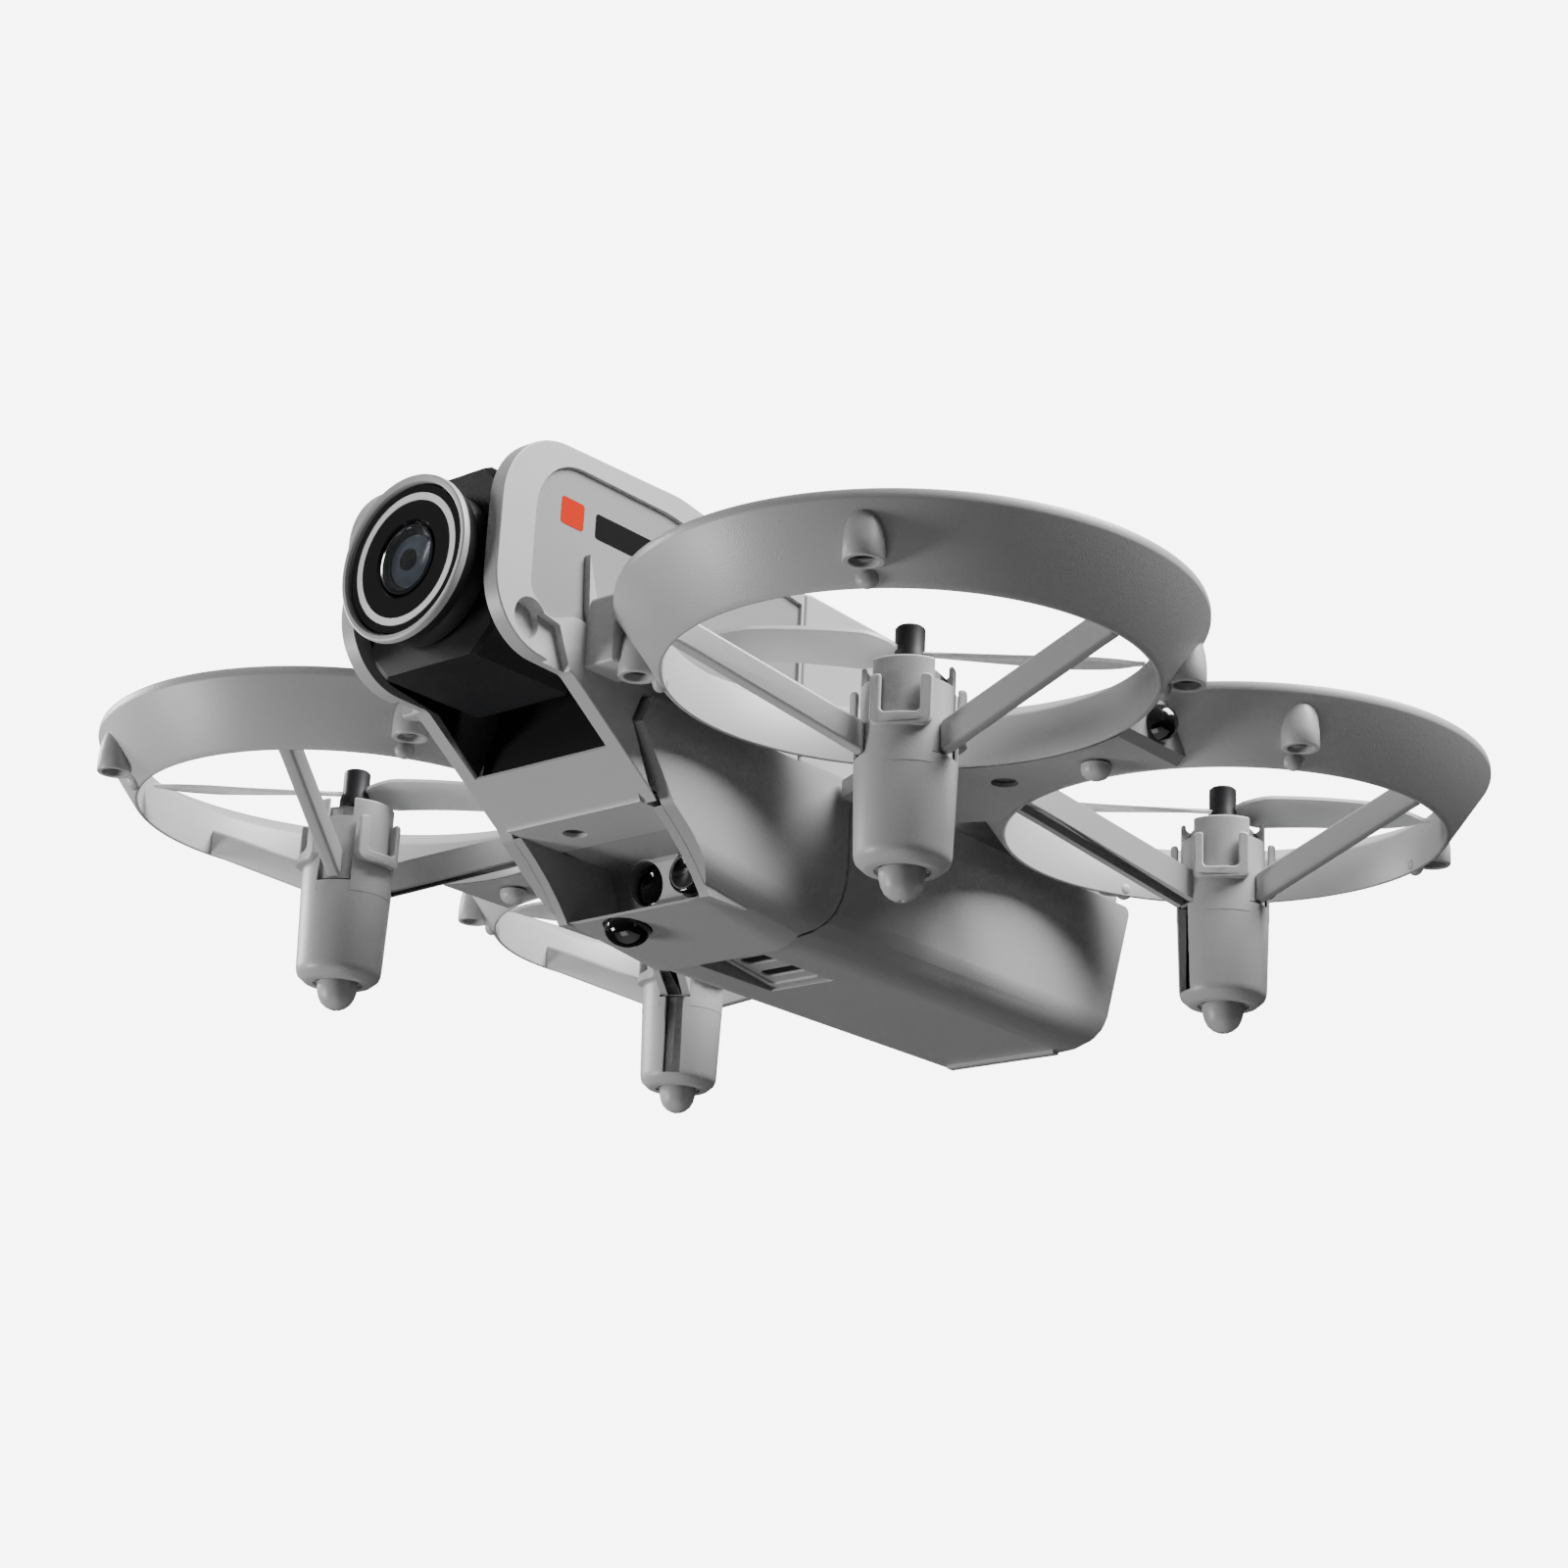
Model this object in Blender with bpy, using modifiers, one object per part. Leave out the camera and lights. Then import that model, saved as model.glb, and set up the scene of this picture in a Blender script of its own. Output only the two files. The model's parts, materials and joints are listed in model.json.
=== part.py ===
"""Small four-rotor camera drone with ring guards. Metres, +Z up, nose towards -Y, feet on z = 0."""

import math

import bmesh
import bpy
from mathutils import Matrix, Vector

MM = 0.001
GAP = 0.3 * MM  # clearance between pieces that touch on the real drone

# Overall layout: the rotor axes stand at (+-ROTOR_X, +-ROTOR_Y) about the middle of the four
ROTOR_X = 43.6 * MM
ROTOR_Y = 31.25 * MM
RING_R = 32.0 * MM  # outside of a guard ring
RING_TOP = 32.7 * MM
LENS_REACH = 65.7 * MM  # front of the lens bezel, ahead of the rotors' middle
MIDDLE_Y = (LENS_REACH - ROTOR_Y - RING_R) / 2  # puts the origin under the middle of the whole drone

# Ducts and guard rims
DUCT_Z = 24.15 * MM
DUCT_R = 26.4 * MM
DUCT_WALL = 0.9 * MM
DUCT_BAND = 5.3 * MM  # height of the straight inner band
LIP_H = 1.2 * MM
RING_STEPS = 32
BOSS_R = 2.2 * MM
BOSS_Z = 25.7 * MM
BOSS_TOP = 31.2 * MM
BOSS_HOLE_R = 1.45 * MM
BOSS_ANGLES = (-61, 41, -150)  # degrees from straight outboard, the front left duct
SPOKE_ANGLES = (0, -120)
CHANNEL_ANGLE = 120
SPOKE_T = 1.8 * MM
SPOKE_H = 3.5 * MM
CHANNEL_T = 4.2 * MM
CHANNEL_SLOT = 2.0 * MM

# Motor pods
MOTOR_R = 4.25 * MM
MOTOR_TOP = 25.0 * MM
BORE_CLEAR = 0.2 * MM
HOLDER_WALL = 0.6 * MM
HOLDER_TOP = 25.8 * MM
POD_R = 5.55 * MM
POD_TAPER = 0.35 * MM
POD_Z = 3.2 * MM
POD_TOP = 15.0 * MM
POD_CHAMFER = 1.0 * MM
POD_SLOT = 2.5 * MM
POD_STEPS = 18
CLIP_T = 0.5 * MM
CLIP_W = 6.6 * MM
CLIP_Z = 17.7 * MM  # where a clip starts to stand proud of the pod's wall
CLIP_TOP = 23.4 * MM
CLIP_WINDOW = 3.3 * MM
CLIP_SILL = 18.9 * MM
CLIP_ANGLES = (60, 180, -60)
FOOT_R = 2.45 * MM
FOOT_TIP_R = 1.2 * MM
STEM_R = 1.2 * MM

# Propellers
SHAFT_R = 0.5 * MM
SHAFT_BOTTOM = 22.0 * MM
HUB_R = 1.65 * MM
HUB_BOTTOM = 26.0 * MM
HUB_TOP = 30.7 * MM
PROP_R = 25.2 * MM
BLADE_Z = 28.0 * MM
BLADE_CHORD = 6.4 * MM
BLADE_T = 0.7 * MM
BLADE_PITCH = math.radians(14)
BLADE_REST = math.radians(40)  # where the blades stop, the same way on every rotor

# Covers
BODY_X = 12.3 * MM  # half width of the covers
WALL = 1.2 * MM
COVER_Z = 27.0 * MM
CROWN_Z = 52.6 * MM
CROWN_Y = -35.0 * MM
CHEEK_Y = -63.0 * MM
CHEEK_Z = 26.4 * MM
SEAM_Y = -12.0 * MM
SEAM_Z = 49.1 * MM
DECK_END_Y = 12.0 * MM
DECK_END_Z = 48.4 * MM
TAIL_Y = 55.5 * MM
TAIL_Z = 30.0 * MM
EDGE_R = 0.8 * MM

# Camera
LENS_Z = 37.1 * MM
TILT_Y = -52.5 * MM
HOUSING_X = 9.7 * MM
HOUSING_H = 11.1 * MM
HOUSING_CHAMFER = 2.7 * MM
HOUSING_BACK = 7.0 * MM  # behind the tilt axis
HOUSING_FRONT = 8.0 * MM
BARREL_R = 8.9 * MM
BEZEL_R = 9.7 * MM
BEZEL_T = 2.2 * MM
BEZEL_WALL = 0.85 * MM
ACCENT_R = (6.85 * MM, 7.67 * MM)
LENS_R = 4.05 * MM
LENS_STEPS = 24
LENS_DOME = 0.9 * MM
BAY_X = HOUSING_X + 2 * GAP
PIN_R = 1.5 * MM
PIN_END = 11.4 * MM  # the pins stop short of the cheeks' outer faces

# Belly and battery
BELLY_X = 13.5 * MM
BELLY_Z = 5.6 * MM
LIP_Z = 7.0 * MM  # the belly rises to this at its front lip
LIP_Y = -25.9 * MM
BELLY_TOP = COVER_Z - GAP
BELLY_CORNER = 5.0 * MM
PARTING_Y = -3.6 * MM
PARTING_R = 11.0 * MM
PARTING_Z = 16.5 * MM
PARTING_TURN = math.radians(66)  # the arc ends here, and the joint then drops straight
SCOOP_X = 11.6 * MM
SCOOP_BACK = -19.4 * MM
LEDGE_Y = -27.6 * MM
LEDGE_Z = 15.5 * MM
LEDGE_T = 1.6 * MM
LEDGE_X = 10.4 * MM
SENSOR_X = 3.55 * MM
SENSOR_Z = 12.6 * MM
SENSOR_R = 2.5 * MM
FLOW_R = 2.7 * MM
FLOW_X = -3.6 * MM
FLOW_Y = -22.6 * MM
NOSE_SCREW_X = -4.0 * MM
NOSE_SCREW_Y = -32.0 * MM
BATTERY_TAIL = 56.4 * MM
BATTERY_HEEL = 49.4 * MM
TAB_Y = (45.9 * MM, 47.2 * MM)
LATCH_Y = (-9.4 * MM, 4.7 * MM)
LATCH_SINK = 1.9 * MM  # how far its front end lies deeper than its rear end
LATCH_LOW = 0.3 * MM  # depth of its rear end
LATCH_W = 9.1 * MM
LATCH_T = 1.0 * MM
LATCH_TRAVEL = 0.6 * MM

# Bridges between a front and a rear duct
BRIDGE_T = 2.2 * MM
BRIDGE_END = 53.4 * MM
BRIDGE_ROOT = 6.0 * MM
MARKER_X = 54.6 * MM
MARKER_Z = 27.3 * MM
BRIDGE_SCREW_X = 33.6 * MM
BRIDGE_BOSS_R = 1.9 * MM
BRIDGE_BOSS_TOP = 28.8 * MM
NUB_X = 46.4 * MM
NUB_R = 1.75 * MM
SCREW_HEAD_R = 1.35 * MM
SCREW_R = 0.7 * MM

# Top button
BUTTON_Y = 0.0 * MM
BUTTON_R = 3.4 * MM
BUTTON_PROUD = 0.7 * MM

SIDEWAYS = Matrix(((0, 0, 1, 0), (1, 0, 0, 0), (0, 1, 0, 0), (0, 0, 0, 1)))  # a (y, z) outline
LENGTHWISE = Matrix(((1, 0, 0, 0), (0, 0, -1, 0), (0, 1, 0, 0), (0, 0, 0, 1)))  # an (x, z) outline


def clear_scene():
    for obj in list(bpy.data.objects):
        bpy.data.objects.remove(obj)


def new_collection(name, hidden=False):
    made = bpy.data.collections.new(name)
    bpy.context.scene.collection.children.link(made)
    made.hide_render = hidden
    return made


def material(name, colour, roughness, metallic=0.0):
    made = bpy.data.materials.new(name)
    made.use_nodes = True
    shader = made.node_tree.nodes["Principled BSDF"]
    shader.inputs["Base Color"].default_value = (*colour, 1)
    shader.inputs["Roughness"].default_value = roughness
    shader.inputs["Metallic"].default_value = metallic
    return made


clear_scene()
drone = new_collection("camera_drone")
cutters = new_collection("cutters", hidden=True)
middle = bpy.data.objects.new("rotor_middle", None)
middle.location.y = MIDDLE_Y
drone.objects.link(middle)

SHELL = material("shell_grey", (0.55, 0.55, 0.56), 0.45)
LOWER = material("lower_shell_grey", (0.42, 0.42, 0.43), 0.45)
DARK = material("charcoal", (0.035, 0.035, 0.038), 0.4)
BLACK = material("gloss_black", (0.01, 0.01, 0.011), 0.12)
WHITE = material("white_accent", (0.85, 0.85, 0.85), 0.35)
GLASS = material("lens_glass", (0.08, 0.1, 0.12), 0.05)
BLADE = material("blade_white", (0.75, 0.75, 0.76), 0.35)
STEEL = material("steel", (0.6, 0.6, 0.6), 0.3, 1.0)
BOARD = material("board_green", (0.02, 0.16, 0.07), 0.5)
CELL = material("cell_wrap", (0.08, 0.1, 0.25), 0.35)
BRASS = material("contact_brass", (0.7, 0.5, 0.2), 0.3, 1.0)


def as_part(obj, finish):
    """Puts a shape among the drone's parts, smooth except at its edges."""
    obj.data.materials.clear()
    obj.data.materials.append(finish)
    for polygon in obj.data.polygons:
        polygon.use_smooth = True
    obj.data.set_sharp_from_angle(angle=math.radians(35))
    return obj


def as_cutter(obj):
    drone.objects.unlink(obj)
    cutters.objects.link(obj)
    obj.hide_render = True
    obj.display_type = "WIRE"
    return obj


def placed(name, mesh):
    obj = bpy.data.objects.new(name, mesh)
    drone.objects.link(obj)
    obj.parent = middle
    return obj


def object_from(name, form):
    mesh = bpy.data.meshes.new(name)
    form.to_mesh(mesh)
    form.free()
    return placed(name, mesh)


def box(name, low, high):
    form = bmesh.new()
    bmesh.ops.create_cube(form, size=1)
    low, high = Vector(low), Vector(high)
    bmesh.ops.scale(form, vec=high - low, verts=form.verts)
    bmesh.ops.translate(form, vec=(low + high) / 2, verts=form.verts)
    return object_from(name, form)


def rod(name, start, end, radius, end_radius=None, sides=16):
    """A cylinder or cone from start to end."""
    start, end = Vector(start), Vector(end)
    turn = (end - start).to_track_quat("Z", "Y").to_matrix().to_4x4()
    form = bmesh.new()
    bmesh.ops.create_cone(
        form,
        cap_ends=True,
        segments=sides,
        radius1=radius,
        radius2=radius if end_radius is None else end_radius,
        depth=(end - start).length,
        matrix=Matrix.Translation((start + end) / 2) @ turn,
    )
    return object_from(name, form)


def turned(name, profile, steps, closed=False):
    """A profile of (radius, height) points, outer side running down, spun about Z."""
    form = bmesh.new()
    points = [form.verts.new((radius, 0, height)) for radius, height in profile]
    for here, after in zip(points, points[1:] + points[:1] if closed else points[1:]):
        form.edges.new((here, after))
    obj = object_from(name, form)
    spin = obj.modifiers.new("spin", "SCREW")
    spin.steps = spin.render_steps = steps
    spin.use_merge_vertices = True
    spin.merge_threshold = 0.00001
    return baked(obj)


def baked(obj):
    """The same object with its modifiers made part of its mesh."""
    graph = bpy.context.evaluated_depsgraph_get()
    mesh = bpy.data.meshes.new_from_object(obj.evaluated_get(graph))
    obj.modifiers.clear()
    obj.data = mesh
    return obj


def rounded(corners, steps=4):
    """Points of an outline of (u, v, radius) corners, each rounded by its radius."""
    points = []
    for index, (u, v, radius) in enumerate(corners):
        here = Vector((u, v))
        before = (Vector(corners[index - 1][:2]) - here).normalized()
        after = (Vector(corners[(index + 1) % len(corners)][:2]) - here).normalized()
        if radius == 0:
            points.append(here)
            continue
        half = before.angle(after) / 2
        centre = here + (before + after).normalized() * radius / math.sin(half)
        first = here + before * radius / math.tan(half) - centre
        sweep = first.angle_signed(here + after * radius / math.tan(half) - centre)
        for step in range(steps + 1):
            points.append(centre + Matrix.Rotation(-sweep * step / steps, 2) @ first)
    return points


def slab(name, points, low, high, way=SIDEWAYS):
    """An outline extruded from low to high across its own plane."""
    curve = bpy.data.curves.new(name, "CURVE")
    curve.dimensions = "2D"
    curve.fill_mode = "BOTH"
    curve.extrude = (high - low) / 2
    line = curve.splines.new("POLY")
    line.points.add(len(points) - 1)
    for target, point in zip(line.points, points):
        target.co = (point[0], point[1], 0, 1)
    line.use_cyclic_u = True
    guide = bpy.data.objects.new(name, curve)
    drone.objects.link(guide)
    graph = bpy.context.evaluated_depsgraph_get()
    form = bmesh.new()
    form.from_mesh(bpy.data.meshes.new_from_object(guide.evaluated_get(graph)))
    bpy.data.objects.remove(guide)
    bmesh.ops.remove_doubles(form, verts=form.verts, dist=0.000001)
    bmesh.ops.translate(form, vec=(0, 0, (low + high) / 2), verts=form.verts)
    bmesh.ops.transform(form, matrix=way, verts=form.verts)
    bmesh.ops.recalc_face_normals(form, faces=form.faces)
    return object_from(name, form)


def soften(obj, width, segments=2):
    edge = obj.modifiers.new("soften", "BEVEL")
    edge.width = width
    edge.segments = segments
    edge.limit_method = "ANGLE"
    edge.angle_limit = math.radians(50)
    return obj


def combine(obj, other, operation):
    step = obj.modifiers.new(operation.lower(), "BOOLEAN")
    step.operation = operation
    step.object = as_cutter(other)
    return obj


def cut(obj, *others):
    for other in others:
        combine(obj, other, "DIFFERENCE")
    return obj


def add(obj, *others):
    for other in others:
        combine(obj, other, "UNION")
    return obj


def moved(obj, matrix):
    obj.data.transform(matrix)
    return obj


# Corners


def wall_r(height):
    """Outer radius of a duct at this height."""
    foot = DUCT_R + DUCT_WALL / 2
    return foot + (RING_R - foot) * (height - DUCT_Z) / (RING_TOP - LIP_H - DUCT_Z)


def band_top():
    return DUCT_Z + DUCT_BAND


def spun(angle):
    return Matrix.Rotation(math.radians(angle), 4, "Z")


def spoke(name, angle, thick):
    """A flat band that climbs from the motor holder to the duct's lower edge."""
    root_r, root_z = MOTOR_R + BORE_CLEAR + HOLDER_WALL / 2, POD_TOP + GAP
    tip_r, tip_z = DUCT_R + DUCT_WALL / 2, DUCT_Z
    outline = [
        (root_r, root_z),
        (tip_r, tip_z),
        (tip_r, tip_z + SPOKE_H),
        (root_r, root_z + SPOKE_H),
    ]
    band = slab(name, outline, -thick / 2, thick / 2, LENGTHWISE)
    return moved(band, spun(angle))


def screw_boss(angle):
    place = spun(angle) @ Matrix.Translation((wall_r(BOSS_TOP) - BOSS_R, 0, 0))
    return moved(rod("boss", (0, 0, BOSS_Z), (0, 0, BOSS_TOP), BOSS_R, sides=12), place)


def boss_hole(angle):
    place = spun(angle) @ Matrix.Translation((wall_r(BOSS_TOP) - BOSS_R, 0, 0))
    hole = rod("boss_hole", (0, 0, DUCT_Z - MM), (0, 0, BOSS_TOP - BOSS_R), BOSS_HOLE_R, sides=8)
    return moved(hole, place)


def motor_holder():
    """Ring round the top of the motor, with three tongues that the pod's clips hold."""
    inner = MOTOR_R + BORE_CLEAR
    outer = inner + HOLDER_WALL
    low = POD_TOP + GAP
    profile = [(outer, HOLDER_TOP), (outer, low), (inner, low), (inner, HOLDER_TOP)]
    ring = turned("holder", profile, POD_STEPS, closed=True)
    for angle in (0, 120, -120):
        notch = box("holder_notch", (0, -1.6 * MM, CLIP_TOP), (8 * MM, 1.6 * MM, HOLDER_TOP + MM))
        cut(ring, moved(notch, spun(angle)))
    return baked(ring)


def rim_space():
    """Everything above the sloping seam between a duct and its rim."""
    slope = (RING_TOP - LIP_H - band_top()) / (RING_R - DUCT_R)
    inner, outer = DUCT_R - MM, RING_R + 3 * MM
    low, high = (band_top() - GAP + slope * (radius - DUCT_R) for radius in (inner, outer))
    profile = [(outer, CROWN_Z), (outer, high), (inner, low), (inner, CROWN_Z)]
    return turned("rim_space", profile, RING_STEPS, closed=True)


def duct():
    """Front left duct about its own rotor axis: V-section ring, bosses, spokes and motor holder."""
    top = RING_TOP - LIP_H - GAP
    band = band_top() - GAP
    profile = [
        (wall_r(top), top),
        (wall_r(DUCT_Z), DUCT_Z),
        (DUCT_R, DUCT_Z),
        (DUCT_R, band),
        (DUCT_R + DUCT_WALL, band),
        (DUCT_R + DUCT_WALL, DUCT_Z + 2.2 * MM),
        (wall_r(top) - DUCT_WALL, top),
    ]
    ring = turned("duct", profile, RING_STEPS, closed=True)
    cut(add(ring, *[screw_boss(angle) for angle in BOSS_ANGLES]), rim_space())
    add(ring, *[spoke("spoke", angle, SPOKE_T) for angle in SPOKE_ANGLES])
    add(ring, spoke("channel", CHANNEL_ANGLE, CHANNEL_T))
    add(ring, motor_holder())
    slot = spoke("channel_slot", CHANNEL_ANGLE, CHANNEL_SLOT)
    cut(ring, moved(slot, Matrix.Translation((0, 0, -1.6 * MM))))
    cut(ring, *[boss_hole(angle) for angle in BOSS_ANGLES])
    return baked(ring)


def guard_rim():
    """Upper half of the ring: a flare that ends in a rounded lip."""
    seam = RING_TOP - LIP_H
    flare = band_top()
    profile = [
        (RING_R - 0.35 * LIP_H, RING_TOP),
        (RING_R, RING_TOP - 0.35 * LIP_H),
        (RING_R, seam),
        (DUCT_R, flare),
        (DUCT_R, flare + DUCT_WALL),
        (RING_R - LIP_H, RING_TOP - 0.2 * LIP_H),
    ]
    return turned("guard_rim", profile, RING_STEPS, closed=True)


def clip_wall(outer, low):
    """A curved wall in front of a motor holder's tongue, from low up to the clips' top."""
    inner = MOTOR_R + BORE_CLEAR + HOLDER_WALL + GAP
    half = math.asin(CLIP_W / 2 / outer)
    around = [half * step / 2 for step in range(-2, 3)]
    arc = [(outer * math.cos(a), outer * math.sin(a)) for a in around]
    arc += [(inner * math.cos(a), inner * math.sin(a)) for a in reversed(around)]
    return slab("clip", arc, low, CLIP_TOP, Matrix())


def motor_pod():
    """Cup under the motor with three U-shaped clips and a slot for the wires."""
    inner = MOTOR_R + BORE_CLEAR
    low = POD_R - POD_TAPER
    floor = POD_Z + POD_CHAMFER
    profile = [
        (POD_R, POD_TOP),
        (low, floor),
        (low - POD_CHAMFER, POD_Z),
        (FOOT_R + 2 * GAP, POD_Z),
        (FOOT_R + 2 * GAP, POD_Z + 0.4 * MM),
        (STEM_R + GAP, POD_Z + 0.4 * MM),
        (STEM_R + GAP, floor + 0.3 * MM),
        (inner, floor + 0.3 * MM),
        (inner, POD_TOP),
    ]
    cup = turned("pod", profile, POD_STEPS, closed=True)
    for angle in CLIP_ANGLES:
        clip = add(clip_wall(POD_R, POD_TOP - 1.5 * MM), clip_wall(POD_R + CLIP_T, CLIP_Z))
        window = box(
            "clip_window",
            (0, -CLIP_WINDOW / 2, CLIP_SILL),
            (8 * MM, CLIP_WINDOW / 2, CLIP_TOP + MM),
        )
        add(cup, moved(baked(cut(clip, window)), spun(angle)))
    slot = box("wire_slot", (0, -POD_SLOT / 2, floor + GAP), (8 * MM, POD_SLOT / 2, POD_TOP + MM))
    return baked(cut(cup, moved(slot, spun(CHANNEL_ANGLE))))


def foot():
    stem_top = POD_Z + POD_CHAMFER
    profile = [
        (0, stem_top),
        (STEM_R, stem_top),
        (STEM_R, POD_Z + 0.1 * MM),
        (FOOT_R, POD_Z + 0.1 * MM),
        (FOOT_R, 2.2 * MM),
        (FOOT_R * 0.86, 1.0 * MM),
        (FOOT_TIP_R, 0),
        (0, 0),
    ]
    return turned("foot", profile, 12)


def motor_can():
    floor = POD_Z + POD_CHAMFER + 0.3 * MM + GAP
    profile = [
        (MOTOR_R - 0.5 * MM, MOTOR_TOP),
        (MOTOR_R, MOTOR_TOP - 0.5 * MM),
        (MOTOR_R, floor),
        (0, floor),
        (0, SHAFT_BOTTOM - GAP),
        (SHAFT_R + GAP, SHAFT_BOTTOM - GAP),
        (SHAFT_R + GAP, MOTOR_TOP),
    ]
    return turned("motor_can", profile, 12, closed=True)


def motor_shaft():
    return rod("shaft", (0, 0, SHAFT_BOTTOM), (0, 0, HUB_TOP - MM), SHAFT_R, sides=8)


def propeller():
    """Two pitched blades on a tall hub, bored for the shaft."""
    hub = rod("hub", (0, 0, HUB_BOTTOM), (0, 0, HUB_TOP), HUB_R, sides=16)
    share = ((0.02, 0.35), (0.2, 0.6), (0.45, 1.0), (0.8, 0.85), (1.0, 0.35))
    lead = [(PROP_R * along, BLADE_CHORD * wide * 0.4) for along, wide in share]
    trail = [(PROP_R * along, -BLADE_CHORD * wide * 0.6) for along, wide in reversed(share)]
    for side in (0, math.pi):
        blade = slab("blade", lead + trail, -BLADE_T / 2, BLADE_T / 2, Matrix())
        pitch = Matrix.Rotation(BLADE_PITCH, 4, "X")
        turn = Matrix.Rotation(side, 4, "Z")
        add(hub, moved(blade, turn @ Matrix.Translation((0, 0, BLADE_Z)) @ pitch))
    bore = rod("shaft_bore", (0, 0, HUB_BOTTOM - MM), (0, 0, HUB_TOP - 0.7 * MM), SHAFT_R + GAP, sides=8)
    return baked(cut(hub, bore))


CORNERS = {"front_left": (1, -1), "front_right": (-1, -1), "rear_left": (1, 1), "rear_right": (-1, 1)}


def build_corners():
    ring, rim = duct(), guard_rim()
    inboard = BODY_X + GAP - ROTOR_X  # the covers' sides take the place of the rings there
    across = ROTOR_Y - GAP / 2  # a front and a rear ring meet on the line between them
    for piece in (ring, rim):
        low, high = (inboard - 20 * MM, -40 * MM, COVER_Z - GAP), (inboard, 40 * MM, CROWN_Z)
        cut(piece, box("cover_space", low, high))
        low, high = (-40 * MM, across, DUCT_Z - MM), (40 * MM, across + 9 * MM, CROWN_Z)
        cut(piece, box("neighbour_space", low, high))
    pieces = (
        ("duct", baked(ring), SHELL),
        ("guard_rim", baked(rim), SHELL),
        ("motor_pod", motor_pod(), SHELL),
        ("foot", foot(), SHELL),
        ("motor_can", motor_can(), DARK),
        ("motor_shaft", motor_shaft(), STEEL),
        ("propeller", propeller(), BLADE),
    )
    for kind, master, finish in pieces:
        for corner, (side, end) in CORNERS.items():
            copy = placed(f"{kind}_{corner}", master.data)
            copy.location = (side * ROTOR_X, end * ROTOR_Y, 0)
            copy.scale = (side, -end, 1)
            copy.rotation_euler.z = BLADE_REST if kind == "propeller" else 0
            as_part(copy, finish)
        bpy.data.objects.remove(master)


# Body


def section(half, low, high, low_r, high_r=0.0):
    """Cross-section of the body, as (x, z) corners."""
    return rounded([(half, low, low_r), (-half, low, low_r), (-half, high, high_r), (half, high, high_r)])


def nose_screw_rod(name, top, radius):
    """A hole for the nose screw's head or shaft, from under the ledge up to top."""
    low, high = (NOSE_SCREW_X, NOSE_SCREW_Y, 10 * MM), (NOSE_SCREW_X, NOSE_SCREW_Y, top)
    return rod(name, low, high, radius, sides=12)


def front_cover():
    """Cheeks, roof and chin plate: the nose moulding that carries the camera."""
    outline = rounded(
        [
            (CHEEK_Y, CHEEK_Z, 8.0 * MM),
            (CHEEK_Y, CROWN_Z - 1.0 * MM, 9.5 * MM),
            (CROWN_Y, CROWN_Z, 12.0 * MM),
            (SEAM_Y - GAP / 2, SEAM_Z, 0),
            (SEAM_Y - GAP / 2, COVER_Z, 0),
            (-39.2 * MM, COVER_Z, 0),
            (-40.6 * MM, 23.7 * MM, 0),
            (-37.4 * MM, LEDGE_Z + LEDGE_T, 0),
            (LEDGE_Y, LEDGE_Z + LEDGE_T, 0),
            (LEDGE_Y, LEDGE_Z, 0),
            (-35.8 * MM, LEDGE_Z, 0),
            (-50.6 * MM, CHEEK_Z - 0.4 * MM, 1.5 * MM),
        ]
    )
    cover = soften(slab("front_cover", outline, -BODY_X, BODY_X), EDGE_R)
    bulkhead = TILT_Y + math.hypot(HOUSING_BACK, HOUSING_H) + GAP
    bay = [(-75 * MM, 5 * MM), (-44.0 * MM, 5 * MM), (-42.2 * MM, 20.7 * MM), (bulkhead, 25.5 * MM)]
    bay += [(bulkhead, 60 * MM), (-75 * MM, 60 * MM)]
    inside = [
        (bulkhead + WALL, COVER_Z - MM),
        (SEAM_Y + MM, COVER_Z - MM),
        (SEAM_Y + MM, SEAM_Z - WALL),
        (CROWN_Y, CROWN_Z - WALL),
        (bulkhead + WALL, CROWN_Z - WALL),
    ]
    cut(
        cover,
        slab("camera_bay", bay, -BAY_X, BAY_X),
        slab("cover_inside", inside, WALL - BODY_X, BODY_X - WALL),
        nose_screw_rod("nose_screw_hole", 20 * MM, SCREW_HEAD_R + GAP),
        rod("pin_seat", (-PIN_END - GAP, TILT_Y, LENS_Z), (PIN_END + GAP, TILT_Y, LENS_Z), PIN_R + GAP),
    )
    for side in (-1, 1):
        ear_low = (min(side * LEDGE_X, side * 20 * MM), -35.6 * MM, 10 * MM)
        ear_high = (max(side * LEDGE_X, side * 20 * MM), LEDGE_Y + MM, LEDGE_Z + LEDGE_T + GAP)
        dimple = rod(
            "cheek_dimple",
            (side * (BODY_X - 1.2 * MM), -57.6 * MM, 29.8 * MM),
            (side * (BODY_X + 0.6 * MM), -57.6 * MM, 29.8 * MM),
            1.4 * MM,
            2.4 * MM,
            sides=14,
        )
        cut(cover, box("ledge_side", ear_low, ear_high), dimple)
    return as_part(cover, SHELL)


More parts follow.
